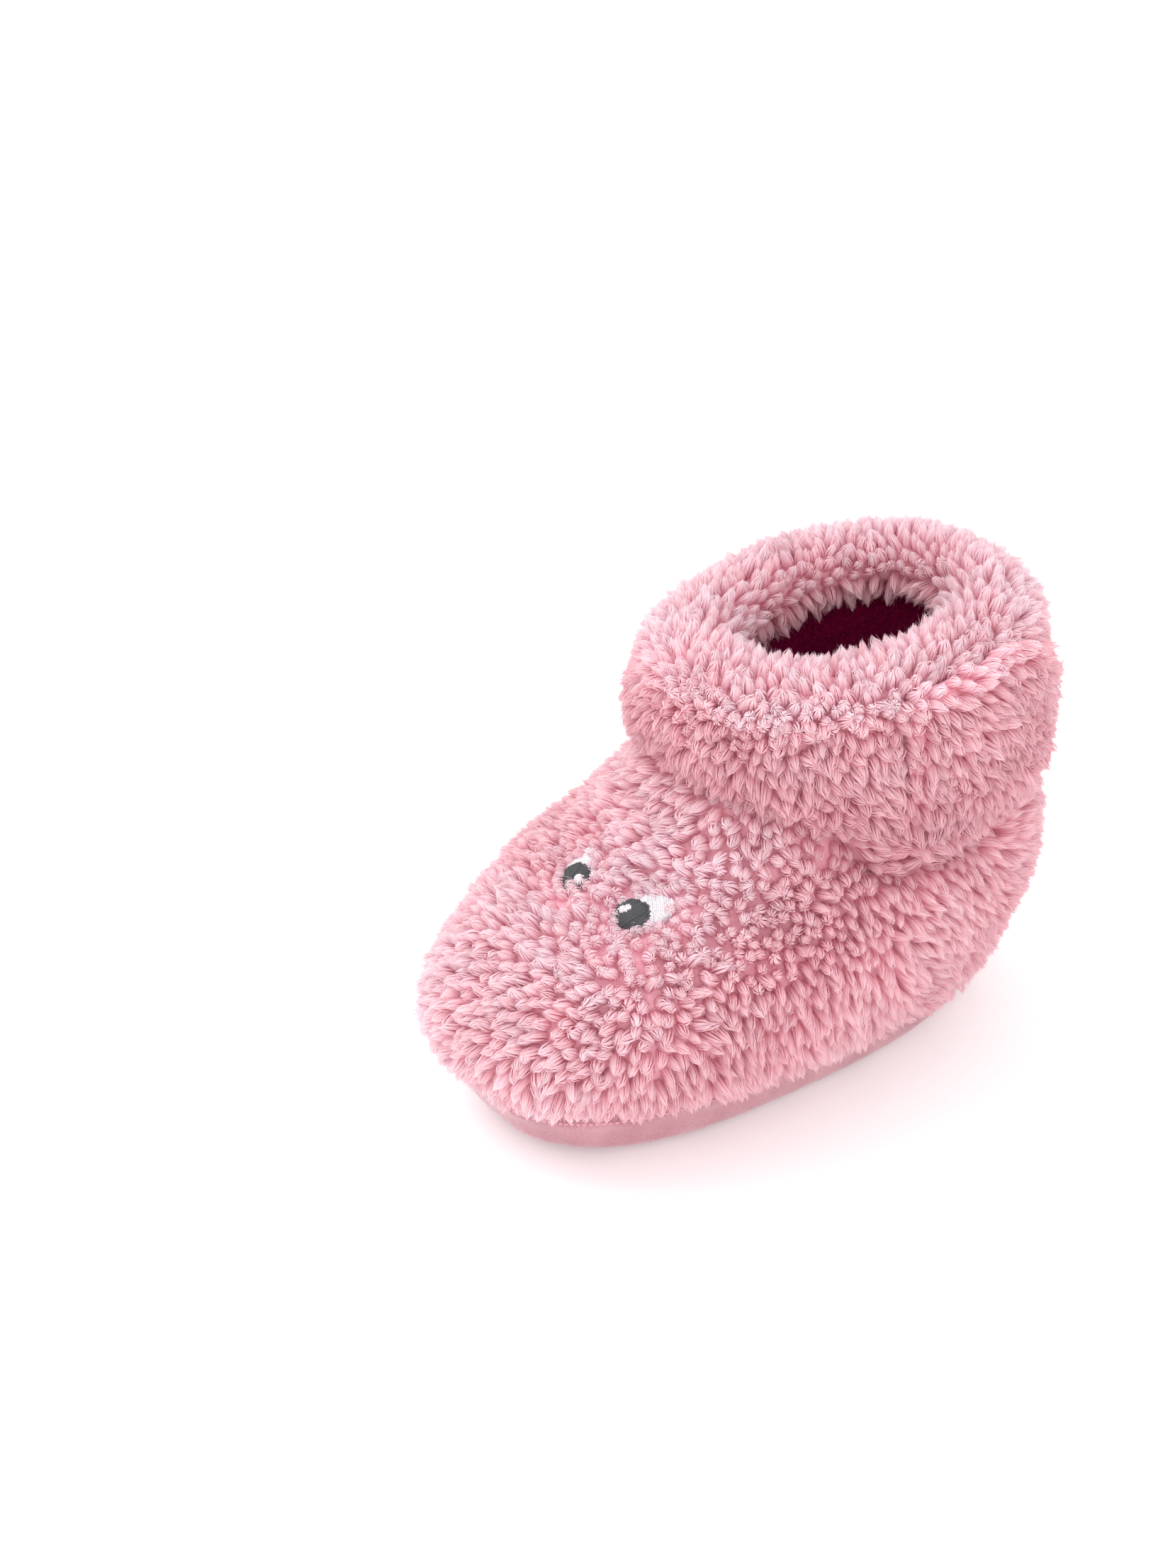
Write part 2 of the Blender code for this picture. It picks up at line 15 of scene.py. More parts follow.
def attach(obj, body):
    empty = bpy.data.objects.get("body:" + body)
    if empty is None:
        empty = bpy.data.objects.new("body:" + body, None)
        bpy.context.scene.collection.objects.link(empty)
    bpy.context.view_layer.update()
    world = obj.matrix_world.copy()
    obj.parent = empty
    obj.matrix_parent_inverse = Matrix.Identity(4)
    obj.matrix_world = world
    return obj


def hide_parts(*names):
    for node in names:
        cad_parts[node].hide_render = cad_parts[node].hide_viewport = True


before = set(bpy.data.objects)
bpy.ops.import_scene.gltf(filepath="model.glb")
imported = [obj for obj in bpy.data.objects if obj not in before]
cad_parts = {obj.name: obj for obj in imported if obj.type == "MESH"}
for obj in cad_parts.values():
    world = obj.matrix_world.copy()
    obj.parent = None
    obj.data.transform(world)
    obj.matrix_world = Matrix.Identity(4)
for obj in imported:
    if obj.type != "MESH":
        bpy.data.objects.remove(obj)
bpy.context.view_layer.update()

MM = 0.001
SEED = 11

# ---- the wall, with part.py's sections ----

SECTIONS = np.array(
    [
        (0.000, -57.0, 1.0, 55.0, 1.0, 25.0, 0.42, 2.6),
        (0.035, -63.0, 4.0, 60.0, 4.0, 27.3, 0.42, 2.6),
        (0.070, -66.0, 9.0, 62.0, 9.0, 28.5, 0.42, 2.6),
        (0.170, -75.0, 24.5, 67.5, 23.5, 38.0, 0.42, 2.4),
        (0.300, -63.0, 43.0, 73.0, 37.0, 41.5, 0.47, 2.2),
        (0.440, -40.0, 54.0, 71.5, 52.0, 39.5, 0.50, 2.1),
        (0.560, -26.0, 65.0, 67.0, 62.0, 36.3, 0.49, 2.1),
        (0.660, -22.5, 74.0, 66.5, 72.0, 38.6, 0.51, 2.1),
        (0.840, -24.5, 82.5, 66.0, 87.0, 38.5, 0.50, 2.1),
        (1.000, -23.5, 89.0, 65.0, 98.5, 36.8, 0.51, 2.1),
    ]
)
ANKLE_SEAM_TURN = np.array([0.0, 30.0, 60.0, 81.0, 100.0, 125.0, 150.0, 180.0])
ANKLE_SEAM_RISE = np.array([0.645, 0.630, 0.572, 0.490, 0.500, 0.570, 0.620, 0.635])
SIDE_SEAM_TOP, SIDE_SEAM_FOOT = 81.0, 112.0
UPPER_FOOT = 0.082
ROLL_REACH, ROLL_RISE = 9.0, 7.5
CREST = 1.26
FACING_END, FACING_SHARE, FACING_THIN = 1.58, 0.7, 0.8
INNER_TOP = 0.975
FLEECE, PADDING, LINING, LAYER_GAP = 6.8, 1.8, 0.8, 0.4
SOLE_SHARE = 0.55
GAP, GAP_TURN = 0.0005, 0.1  # in rise and in degrees of turn, left at each side of a seam
WRAP_THICK, WRAP_TOP = 1.2, 0.07
SHAFT_MEDIAL, HINGE_TURN = -97.5, 75.0
FLAP_FLEECE_IN, FLAP_LINING, FLAP_UNDER = 1.6, (2.0, 2.8), 3.6
HOOK_DEPTH, LOOP_DEPTH, POCKET_DEPTH = (3.1, 3.9), (4.2, 5.0), 5.35
PATCH_TURN, PATCH_RISE = (102.0, 138.0), (0.71, 0.90)
FLAP_END, FLAP_OUT, FLAP_LIFT = 152.0, 2.5, 0.035
FLAP_TOP, FLAP_TOP_TURN, FLAP_TOP_END = 1.12, 104.0, 0.80


def smoothstep(low, high, value):
    share = np.clip((value - low) / (high - low), 0.0, 1.0)
    return share * share * (3.0 - 2.0 * share)


def smooth_rows(places, rows, at):
    """A cubic through the rows that doesn't overshoot between them."""
    step = np.diff(places)[:, None]
    slope = np.diff(rows, axis=0) / step
    before, after = slope[:-1], slope[1:]
    near, far = 2 * step[1:] + step[:-1], step[1:] + 2 * step[:-1]
    weighted = near / np.where(before == 0, 1.0, before) + far / np.where(after == 0, 1.0, after)
    mean = (near + far) / np.where(weighted == 0, 1.0, weighted)
    grade = np.empty_like(rows)
    grade[1:-1] = np.where(before * after > 0, mean, 0.0)
    grade[0], grade[-1] = slope[0], slope[-1]
    index = np.clip(np.searchsorted(places, at, side="right") - 1, 0, len(places) - 2)
    width = (places[index + 1] - places[index])[..., None]
    t = (at - places[index])[..., None] / width
    return (
        rows[index] * (1 + 2 * t) * (1 - t) ** 2
        + rows[index + 1] * t * t * (3 - 2 * t)
        + grade[index] * width * t * (1 - t) ** 2
        - grade[index + 1] * width * t * t * (1 - t)
    )


def hill(offset, width):
    return np.exp(-((offset / width) ** 2))


def unit(vectors):
    return vectors / np.maximum(np.linalg.norm(vectors, axis=-1, keepdims=True), 1e-9)


def wall(turn, rise):
    row = smooth_rows(SECTIONS[:, 0], SECTIONS[:, 1:], np.clip(rise, 0.0, 1.0))
    front_y, front_z, back_y, back_z, half, widest, square = np.moveaxis(row, -1, 0)
    sine, cosine = np.sin(np.radians(turn)), np.cos(np.radians(turn))
    power = 2.0 / square
    x = half * np.sign(sine) * np.abs(sine) ** power
    along = -np.sign(cosine) * np.abs(cosine) ** power
    share = widest + np.where(along < 0, widest, 1 - widest) * along
    y, z = front_y + (back_y - front_y) * share, front_z + (back_z - front_z) * share
    return np.stack([x, y, z], -1)


def wall_normal(turn, rise):
    rise = np.clip(rise, 0.002, 0.998)
    across = wall(turn + 1.5, rise) - wall(turn - 1.5, rise)
    up = wall(turn, rise + 0.002) - wall(turn, rise - 0.002)
    return unit(np.cross(across, up))


def skin(turn, rise):
    """The outer surface of the whole shell: wall, roll, then facing."""
    turn, rise = np.broadcast_arrays(np.asarray(turn, float), np.asarray(rise, float))
    foot = wall(turn, np.ones_like(rise))
    out = wall_normal(turn, np.ones_like(rise))
    up = unit(foot - wall(turn, np.full_like(rise, 0.99)))
    angle = math.pi * np.clip(rise - 1.0, 0.0, 0.5)[..., None] / 0.5
    rolled = foot - out * ROLL_REACH * (1 - np.cos(angle)) + up * ROLL_RISE * np.sin(angle)
    lower = 1.0 - np.clip(rise - 1.5, 0.0, 1.0) * FACING_SHARE
    inside = wall(turn, lower) - 2 * ROLL_REACH * wall_normal(turn, lower)
    rise = rise[..., None]
    return np.where(rise <= 1.0, wall(turn, rise[..., 0]), np.where(rise <= 1.5, rolled, inside))


def tangents(turn, rise):
    """Unit steps round the wall and up it, and the outward normal."""
    turn, rise = np.broadcast_arrays(np.asarray(turn, float), np.asarray(rise, float))
    across = unit(skin(turn + 1.5, rise) - skin(turn - 1.5, rise))
    up = unit(skin(turn, rise + 0.004) - skin(turn, np.maximum(rise - 0.004, 0.0)))
    return across, up, unit(np.cross(across, up))


def outward(turn, rise):
    normal = tangents(turn, rise)[2].copy()
    normal[..., 2] *= smoothstep(0.07, 0.22, np.broadcast_to(rise, normal.shape[:-1]))
    return unit(normal)


def at_depth(turn, rise, depth):
    return skin(turn, rise) - outward(turn, rise) * np.asarray(depth)[..., None]


def thinning(rise):
    return SOLE_SHARE + (1 - SOLE_SHARE) * smoothstep(0.07, 0.26, rise)


def folded_turn(turn):
    """The turn measured from the toe on either side, from 0 to 180."""
    return np.abs((np.asarray(turn, float) + 180.0) % 360.0 - 180.0)


def frontness(turn):
    """1 round the toes, falling to 0 round the heel."""
    return smoothstep(130, 60, folded_turn(turn))


def ankle_rise(turn):
    return smooth_rows(ANKLE_SEAM_TURN, ANKLE_SEAM_RISE[:, None], folded_turn(turn))[..., 0]


def side_seam_at(turn, rise):
    """Turn of the side seam at the height of each place."""
    share = np.clip((rise - UPPER_FOOT) / (ankle_rise(SIDE_SEAM_TOP) - UPPER_FOOT), 0.0, 1.0)
    return SIDE_SEAM_FOOT + (SIDE_SEAM_TOP - SIDE_SEAM_FOOT) * smoothstep(0.1, 1.0, share)


def flap_top(turn):
    return FLAP_TOP + (FLAP_TOP_END - FLAP_TOP) * smoothstep(FLAP_TOP_TURN, FLAP_END, turn)


# ---- meshes ----


def add_object(name, data):
    obj = bpy.data.objects.new(name, data)
    bpy.context.scene.collection.objects.link(obj)
    return obj


def fast_mesh(name, points, loops, sides, material, tones=None):
    """A mesh from arrays. sides gives each face's count of corners."""
    mesh = bpy.data.meshes.new(name)
    mesh.vertices.add(len(points))
    mesh.vertices.foreach_set("co", (points * MM).astype(np.float32).ravel())
    mesh.loops.add(len(loops))
    mesh.loops.foreach_set("vertex_index", loops.astype(np.int32))
    mesh.polygons.add(len(sides))
    starts = np.concatenate([[0], np.cumsum(sides)[:-1]]).astype(np.int32)
    mesh.polygons.foreach_set("loop_start", starts)
    mesh.update(calc_edges=True)
    mesh.polygons.foreach_set("use_smooth", np.ones(len(sides), bool))
    if tones is not None:
        layer = mesh.color_attributes.new("tone", "FLOAT_COLOR", "POINT")
        layer.data.foreach_set("color", tones.astype(np.float32).ravel())
    mesh.materials.append(material)
    return add_object(name, mesh)


def quads_mesh(name, points, quads, material):
    quads = np.asarray(quads, np.int64)
    return fast_mesh(name, points, quads.ravel(), np.full(len(quads), 4), material)


def grid_quads(rows, columns, ring, first=0, flip=False):
    row = np.arange(rows - 1)[:, None] * columns
    column = np.arange(columns if ring else columns - 1)
    after = (column + 1) % columns
    corners = [row + column, row + after, row + columns + after, row + columns + column]
    quads = np.stack(corners, -1).reshape(-1, 4)
    return first + (quads[:, ::-1] if flip else quads)


def spans(rows, columns, start=0.0, end=1.0):
    """An even grid: shares of 0 to 1 down the rows, and start to end along the columns."""
    return np.meshgrid(np.linspace(0, 1, rows), np.linspace(start, end, columns), indexing="ij")


def ring_spans(rows, columns):
    """The same for a closed ring, whose columns are turns and don't repeat the first."""
    along, turn = spans(rows, columns + 1, 0, 360)
    return along[:, :-1], turn[:, :-1]


def shell_mesh(name, outer, inner, material, ring=False):
    """A closed shell between two grids of points."""
    rows, columns, _ = outer.shape
    base = rows * columns
    parts = [grid_quads(rows, columns, ring), grid_quads(rows, columns, ring, base, flip=True)]
    column = np.arange(columns if ring else columns - 1)
    after = (column + 1) % columns
    top = base - columns
    parts.append(np.stack([column, base + column, base + after, after], -1))
    parts.append(np.stack([top + column, top + after, base + top + after, base + top + column], -1))
    if not ring:
        row = np.arange(rows - 1)
        low, high = row * columns, (row + 1) * columns
        parts.append(np.stack([low, high, base + high, base + low], -1))
        low, high = low + columns - 1, high + columns - 1
        parts.append(np.stack([low, base + low, base + high, high], -1))
    points = np.concatenate([outer.reshape(-1, 3), inner.reshape(-1, 3)])
    return quads_mesh(name, points, np.concatenate(parts), material)


# ---- materials ----


def new_material(name):
    material = bpy.data.materials.new(name)
    material.use_nodes = True
    tree = material.node_tree
    return material, tree, tree.nodes["Principled BSDF"]


def put(node, values):
    """Sets inputs of a node, by name or by number."""
    for key, value in values.items():
        node.inputs[key].default_value = value


def noise_node(tree, scale, detail):
    noise = tree.nodes.new("ShaderNodeTexNoise")
    put(noise, {"Scale": scale, "Detail": detail})
    tree.links.new(tree.nodes.new("ShaderNodeTexCoord").outputs["Object"], noise.inputs["Vector"])
    return noise


def ramp_node(tree, source, stops):
    ramp = tree.nodes.new("ShaderNodeValToRGB")
    elements = ramp.color_ramp.elements
    while len(elements) < len(stops):
        elements.new(0.5)
    for element, (position, colour) in zip(elements, stops):
        element.position = position
        element.color = (*colour, 1.0)
    tree.links.new(source, ramp.inputs["Fac"])
    return ramp


def add_bump(tree, shader, height, strength, distance):
    bump = tree.nodes.new("ShaderNodeBump")
    put(bump, {"Strength": strength, "Distance": distance})
    tree.links.new(height, bump.inputs["Height"])
    tree.links.new(bump.outputs["Normal"], shader.inputs["Normal"])


PILE_TRANSLUCENCY = 0.48


def pile_material():
    """Sherpa fibres: the tone attribute holds their colour with painted shade and painted light in it,
    with a fine mottling over it.
    """
    material, tree, shader = new_material("sherpa_pile")
    tone = tree.nodes.new("ShaderNodeAttribute")
    tone.attribute_name = "tone"
    noise = noise_node(tree, 140.0, 3.0)
    stops = [(0.3, (0.93, 0.90, 0.91)), (0.7, (1.0, 1.0, 1.0))]
    mottle = ramp_node(tree, noise.outputs["Fac"], stops)
    mix = tree.nodes.new("ShaderNodeMix")
    mix.data_type = "RGBA"
    mix.blend_type = "MULTIPLY"
    put(mix, {"Factor": 1.0})
    tree.links.new(tone.outputs["Color"], mix.inputs["A"])
    tree.links.new(mottle.outputs["Color"], mix.inputs["B"])
    tree.links.new(mix.outputs["Result"], shader.inputs["Base Color"])
    put(shader, {"Roughness": 0.95, "Specular IOR Level": 0.1})
    through = tree.nodes.new("ShaderNodeBsdfTranslucent")
    tree.links.new(mix.outputs["Result"], through.inputs["Color"])
    both = tree.nodes.new("ShaderNodeMixShader")
    put(both, {"Fac": PILE_TRANSLUCENCY})
    tree.links.new(shader.outputs["BSDF"], both.inputs[1])
    tree.links.new(through.outputs["BSDF"], both.inputs[2])
    tree.links.new(both.outputs["Shader"], tree.nodes["Material Output"].inputs["Surface"])
    return material


def mottled(name, grain, detail, stops, roughness, bump):
    """A stuff with a fine mottled colour and a bump of the same grain. bump is (strength, metres)."""
    material, tree, shader = new_material(name)
    noise = noise_node(tree, grain, detail)
    colour = ramp_node(tree, noise.outputs["Fac"], stops)
    tree.links.new(colour.outputs["Color"], shader.inputs["Base Color"])
    put(shader, {"Roughness": roughness})
    add_bump(tree, shader, noise.outputs["Fac"], *bump)
    return material, shader


def backing_material():
    # Darker than the pile: partly the backing's own pink and partly painted shade seen between the
    # locks.
    stops = [(0.3, (0.86, 0.42, 0.50)), (0.7, (0.92, 0.52, 0.60))]
    material, shader = mottled("sherpa_backing", 900.0, 5.0, stops, 0.95, (0.6, 0.0006))
    put(shader, {"Sheen Weight": 0.3})
    return material


def scaled_by(tree, source, factor, added=None):
    """source times factor, plus the added socket if there is one."""
    node = tree.nodes.new("ShaderNodeMath")
    node.operation = "MULTIPLY" if added is None else "MULTIPLY_ADD"
    put(node, {1: factor})
    tree.links.new(source, node.inputs[0])
    if added is not None:
        tree.links.new(added, node.inputs[2])
    return node.outputs[0]


def suede_material():
    """Short nap: a fine grain with broad brushed patches in it."""
    material, tree, shader = new_material("pink_microsuede")
    fine = noise_node(tree, 2600.0, 4.0).outputs["Fac"]
    broad = noise_node(tree, 70.0, 3.0).outputs["Fac"]
    both = scaled_by(tree, fine, 0.45, scaled_by(tree, broad, 0.55))
    stops = [(0.38, (0.40, 0.165, 0.205)), (0.62, (0.56, 0.29, 0.325))]
    colour = ramp_node(tree, both, stops)
    tree.links.new(colour.outputs["Color"], shader.inputs["Base Color"])
    put(shader, {"Roughness": 0.85, "Sheen Weight": 0.5, "Sheen Roughness": 0.4})
    add_bump(tree, shader, fine, 0.5, 0.0002)
    return material


def lining_material():
    stops = [(0.3, (0.14, 0.001, 0.030)), (0.7, (0.36, 0.004, 0.085))]
    material, shader = mottled("maroon_plush", 1500.0, 4.0, stops, 0.9, (0.7, 0.0004))
    put(shader, {"Specular IOR Level": 0.1})
    return material


def thread_material(name, dark, light, roughness):
    stops = [(0.35, dark), (0.65, light)]
    material, shader = mottled(name, 3000.0, 3.0, stops, roughness, (0.4, 0.0001))
    put(shader, {"Sheen Weight": 0.2})
    return material


def plain_pattern(name, dark, light, scale, roughness, bump):
    """A moulded or woven stuff."""
    stops = [(0.3, dark), (0.7, light)]
    return mottled(name, scale, 4.0, stops, roughness, (0.5, bump))[0]


# ---- pile ----

SPACING = 1.92
STATIONS = np.array([0.0, 0.40, 0.76, 1.0])  # shares of a lock's length
KIND_COUNTS = (19, 7, 6)  # fibres of a lock in its ring, in its core and stray
MOST_TUFTS = 1100  # in one piece
TURN_STEP, RISE_STEP = 0.7, 0.004
CANDIDATES = 380000  # places tried over the whole wall, for a spacing of 1 mm
# The roots' tone is darker than the tips' as painted shade deep in the pile.
ROOT_TONE = np.array([0.96, 0.54, 0.62])
BELLY_TONE = np.array([0.965, 0.66, 0.715])
TIP_TONE = np.array([0.980, 0.76, 0.80])
NEIGHBOURS = [(i, j, k) for i in (-1, 0, 1) for j in (-1, 0, 1) for k in (-1, 0, 1)]


def soft_noise(points, scale, seed):
    """A smooth wandering value from about -1 to 1, from a few plane waves."""
    rng = np.random.default_rng(seed)
    total = np.zeros(points.shape[:-1])
    for _ in range(6):
        direction = unit(rng.normal(size=3))
        rate = scale * rng.uniform(0.6, 1.6)
        total += np.sin(points @ direction * rate + rng.uniform(0, math.tau))
    return total / 2.6


def spread_out(points, spacing):
    """Indices of points no two of which are nearer than spacing, taken in order."""
    cells, chosen = {}, []
    for index, point in enumerate(points):
        key = tuple((point // spacing).astype(int))
        around = (cells.get((key[0] + a, key[1] + b, key[2] + c), ()) for a, b, c in NEIGHBOURS)
        near = (other for cell in around for other in cell)
        if any(((points[other] - point) ** 2).sum() < spacing**2 for other in near):
            continue
        cells.setdefault(key, []).append(index)
        chosen.append(index)
    return chosen


def scatter(turns, rises, accept, rng):
    """Places spread evenly over part of the wall."""
    share = (turns[1] - turns[0]) / 360.0 * (rises[1] - rises[0])
    count = int(CANDIDATES * share / SPACING**2)
    turn = rng.uniform(*turns, count)
    rise = rng.uniform(*rises, count)
    across = skin(turn + TURN_STEP, rise) - skin(turn - TURN_STEP, rise)
    up = skin(turn, rise + RISE_STEP) - skin(turn, rise - RISE_STEP)
    area = np.linalg.norm(np.cross(across, up), axis=-1)
    keep = (rng.random(count) < area / np.quantile(area, 0.98)) & accept(turn, rise)
    turn, rise = turn[keep], rise[keep]
    chosen = spread_out(skin(turn, rise), SPACING)
    return turn[chosen], rise[chosen]


def lock_centres(count, root, normal, way, length, lean, curl):
    """The middle line of each lock at the stations, and two directions across it."""
    side = np.cross(normal, way)
    bend = 0.12 + (lean[:, None] - 0.12) * STATIONS
    middle = (bend[:, 1:] + bend[:, :-1]) / 2
    step = length[:, None] * np.diff(STATIONS)
    moves = step[..., None] * (
        np.cos(middle)[..., None] * normal[:, None] + np.sin(middle)[..., None] * way[:, None]
    )
    line = np.concatenate([np.zeros((count, 1, 3)), np.cumsum(moves, axis=1)], axis=1)
    line += (curl * length)[:, None, None] * (STATIONS**2)[None, :, None] * side[:, None]
    flat = np.cos(bend)[..., None] * way[:, None] - np.sin(bend)[..., None] * normal[:, None]
    return line + root[:, None], flat, side


def by_kind(ring, core, stray):
    """One row of station values for each fibre of a lock."""
    kinds = zip((ring, core, stray), KIND_COUNTS)
    return np.concatenate([np.tile(values, (count, 1)) for values, count in kinds])


SPREAD = by_kind([0.95, 1.0, 0.80, 0.13], [0.45, 0.52, 0.38, 0.05], [0.8, 1.1, 1.25, 1.4])
HALF_WIDTH = by_kind([0.145, 0.155, 0.115, 0.0], [0.15, 0.15, 0.11, 0.0], [0.05, 0.045, 0.03, 0.0])
FIBRES = sum(KIND_COUNTS)
STARTS = np.concatenate([np.arange(n) / n for n in KIND_COUNTS])
CURL, JITTER = 0.12, 0.04  # spread of a lock's sideways curl, in lengths, and of its fibres, in mm
FIBRE_CORNERS = np.array([0, 1, 3, 2, 2, 3, 5, 4, 4, 5, 6])  # two quads and a tip on seven points
BELLY_PLACE, TIP_PLACE = 0.55, 0.95  # shares of a lock's length that have the belly's and tip's tone


def lock_tones(count, tone, rng):
    along = np.array([0.0, 0.0, 0.4, 0.4, 0.76, 0.76, 1.0])
    along = np.clip(along + rng.normal(0, 0.06, (count, FIBRES, 1)), 0, 1)
    low = np.clip(along / BELLY_PLACE, 0, 1)[..., None]
    high = np.clip((along - BELLY_PLACE) / (TIP_PLACE - BELLY_PLACE), 0, 1)[..., None]
    # Darker at the root as painted shade, paler towards the tip.
    shade = ROOT_TONE + (BELLY_TONE - ROOT_TONE) * low + (TIP_TONE - BELLY_TONE) * high
    lift = tone[:, None, None, None] + rng.normal(0, 0.02, (count, FIBRES, 1, 1))
    shade = np.clip(shade * (1 + lift * np.array([0.4, 1.0, 0.9])), 0.0, 0.995)
    return np.concatenate([shade, np.ones((*shade.shape[:-1], 1))], axis=-1).reshape(-1, 4)


def grow(name, locks, body, rng, material):
    """Locks of pile, each a bundle of flat fibres that swells from its root, bends and closes."""
    roots, normal, way, length, lean, radius, tone = locks
    count = len(roots)
    curl = rng.normal(0, CURL, count)
    line, flat, side = lock_centres(count, roots, normal, way, length, lean, curl)
    start = STARTS[None] + rng.random((count, 1)) + rng.normal(0, 0.012, (count, FIBRES))
    angle = math.tau * start[..., None] + rng.normal(0, 0.5, (count, 1, 1)) * STATIONS
    reach = radius[:, None, None] * SPREAD[None] * rng.uniform(0.86, 1.12, (count, FIBRES, 1))
    cosine, sine = np.cos(angle)[..., None], np.sin(angle)[..., None]
    flat, side = flat[:, None], side[:, None, None]
    spoke, turned = cosine * flat + sine * side, -sine * flat + cosine * side
    shorten = rng.uniform(0.80, 1.06, (count, FIBRES, 1, 1))
    base = roots[:, None, None]
    centre = base + (line[:, None] - base) * shorten + reach[..., None] * spoke
    centre += rng.normal(0, JITTER, centre.shape)
    wide = HALF_WIDTH[None, :, :, None] * radius[:, None, None, None] * turned
    left, right = (centre - wide)[:, :, :3], (centre + wide)[:, :, :3]
    pairs = np.stack([left, right], axis=3).reshape(count, FIBRES, 6, 3)
    points = np.concatenate([pairs, centre[:, :, 3:4]], axis=2).reshape(-1, 3)
    first = np.arange(count * FIBRES)[:, None] * 7
    loops = (first + FIBRE_CORNERS).ravel()
    sides = np.tile([4, 4, 3], count * FIBRES)
    obj = fast_mesh(name, points, loops, sides, material, lock_tones(count, tone, rng))
    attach(obj, body)


def leaning(turn, rise, roots, angle, wander, seed):
    """The way that the pile leans: down the wall, turned by an angle and a slow wander."""
    across, up, normal = tangents(turn, rise)
    angle = angle + wander * soft_noise(roots, 0.16, seed)
    way = -np.cos(angle)[:, None] * up + np.sin(angle)[:, None] * across
    return unit(way), normal


def pile_pieces(name, places, body, settings, rng, material, depth):
    """Grows the locks of one panel, in pieces of a size that exports whole."""
    order = np.argsort(places[0])
    turn, rise = places[0][order], places[1][order]
    roots = at_depth(turn, rise, depth(turn, rise))
    locks = [roots, *settings(turn, rise, roots, rng)]
    parts = np.array_split(np.arange(len(turn)), math.ceil(len(turn) / MOST_TUFTS))
    for number, part in enumerate(parts, 1):
        grow(f"{name}_pile_{number}", [values[part] for values in locks], body, rng, material)


ANKLE_GROOVE, GROOVE_WIDTH = 2.0, 0.022
SIDE_GROOVE, SIDE_GROOVE_TURNS = 1.0, 3.0
ANKLE_SWELL = 1.3  # how far the shaft's foot rolls out over the groove
ROOT_DEPTH = 3.0
BROW_RISE, BROW_SWELL, BROW_TURN = 0.520, 1.5, 4.0  # the fold of pile above the eyes
FURROW_BELOW, FURROW_SINK = 0.045, 0.8  # the hollow under that fold
RIM_NEAR, RIM_NEAR_TURN = 2.0, 30.0  # how much fuller the roll is over the instep
RIM_PROUD = 0.6  # the roots' height over the roll's inner side


def groove_share(turn, rise):
    """1 in the ankle seam, falling to 0 beside it."""
    return hill(rise - ankle_rise(turn), GROOVE_WIDTH)


def side_share(turn, rise):
    """1 in the side seam under the ankle, falling to 0 beside it."""
    beside = folded_turn(turn) - side_seam_at(turn, rise)
    return hill(beside, SIDE_GROOVE_TURNS) * smoothstep(0.02, -0.02, rise - ankle_rise(turn))


def pile_depth(turn, rise):
    """Depth that the pile is rooted at."""
    depth = ROOT_DEPTH * thinning(rise)
    depth = depth + ANKLE_GROOVE * groove_share(turn, rise) + SIDE_GROOVE * side_share(turn, rise)
    over = rise - ankle_rise(turn)
    depth = depth - ANKLE_SWELL * smoothstep(0.01, 0.07, over) * smoothstep(0.26, 0.1, over)
    over, beside = rise - BROW_RISE, np.abs(turn - BROW_TURN)
    brow = hill(over, 0.028) * smoothstep(62, 40, beside)
    furrow = hill(over + FURROW_BELOW, 0.016) * smoothstep(44, 24, beside)
    depth = depth - BROW_SWELL * brow + FURROW_SINK * furrow
    rim = smoothstep(1.12, 1.36, rise)
    proud = RIM_PROUD + RIM_NEAR * np.cos(np.radians(turn - RIM_NEAR_TURN))
    depth = depth - (ROOT_DEPTH + proud) * rim * smoothstep(1.58, 1.5, rise)
    return depth + 0.35 * soft_noise(skin(turn, rise), 0.22, 13)


def flap_pile_depth(turn, rise):
    away = smoothstep(HINGE_TURN, HINGE_TURN + 12.0, turn)
    return ROOT_DEPTH - 0.4 - FLAP_OUT * away + 0.3 * soft_noise(skin(turn, rise), 0.22, 13)


EYE_RISE, EYE_TURNS, EYE_SLANT = 0.431, (("lateral", 17.5), ("medial", -10.5)), 0.9
WHITE_HALF, PUPIL_HALF, PUPIL_SHIFT = (6.8, 4.1), (3.9, 3.6), -2.3
GLINT_HALF, GLINT_SHIFT = (1.3, 1.0), (-3.2, 1.5)


def eye_axes(eye_turn):
    """The eye's centre and its long and short directions on the skin."""
    place = (np.array([eye_turn]), np.array([EYE_RISE]))
    across, up, normal = (axis[0] for axis in tangents(*place))
    side = math.copysign(1.0, eye_turn)
    long = math.cos(EYE_SLANT) * side * across + math.sin(EYE_SLANT) * up
    short = -math.sin(EYE_SLANT) * side * across + math.cos(EYE_SLANT) * up
    return skin(*place)[0], unit(long), unit(short), normal


def eye_share(points):
    """For each point, its distance from the nearer eye, in shares of the eye's own half size."""
    shares = []
    for _, eye_turn in EYE_TURNS:
        centre, long, short, _ = eye_axes(eye_turn)
        offset = points - centre
        shares.append(np.hypot(offset @ long / WHITE_HALF[0], offset @ short / WHITE_HALF[1]))
    return np.minimum(*shares)


def from_eye(points):
    """Unit directions away from the nearer eye's centre."""
    centres = np.array([eye_axes(eye_turn)[0] for _, eye_turn in EYE_TURNS])
    away = points[:, None] - centres
    nearest = np.argmin(np.linalg.norm(away, axis=-1), axis=1)
    return unit(away[np.arange(len(points)), nearest])


def colour_drift(roots, rng):
    return rng.normal(0, 0.03, len(roots)) + 0.035 * soft_noise(roots, 0.12, 9)


TOE_PAINTED_LIGHT = 0.14  # painted light: how much paler the pile is over the toes and instep
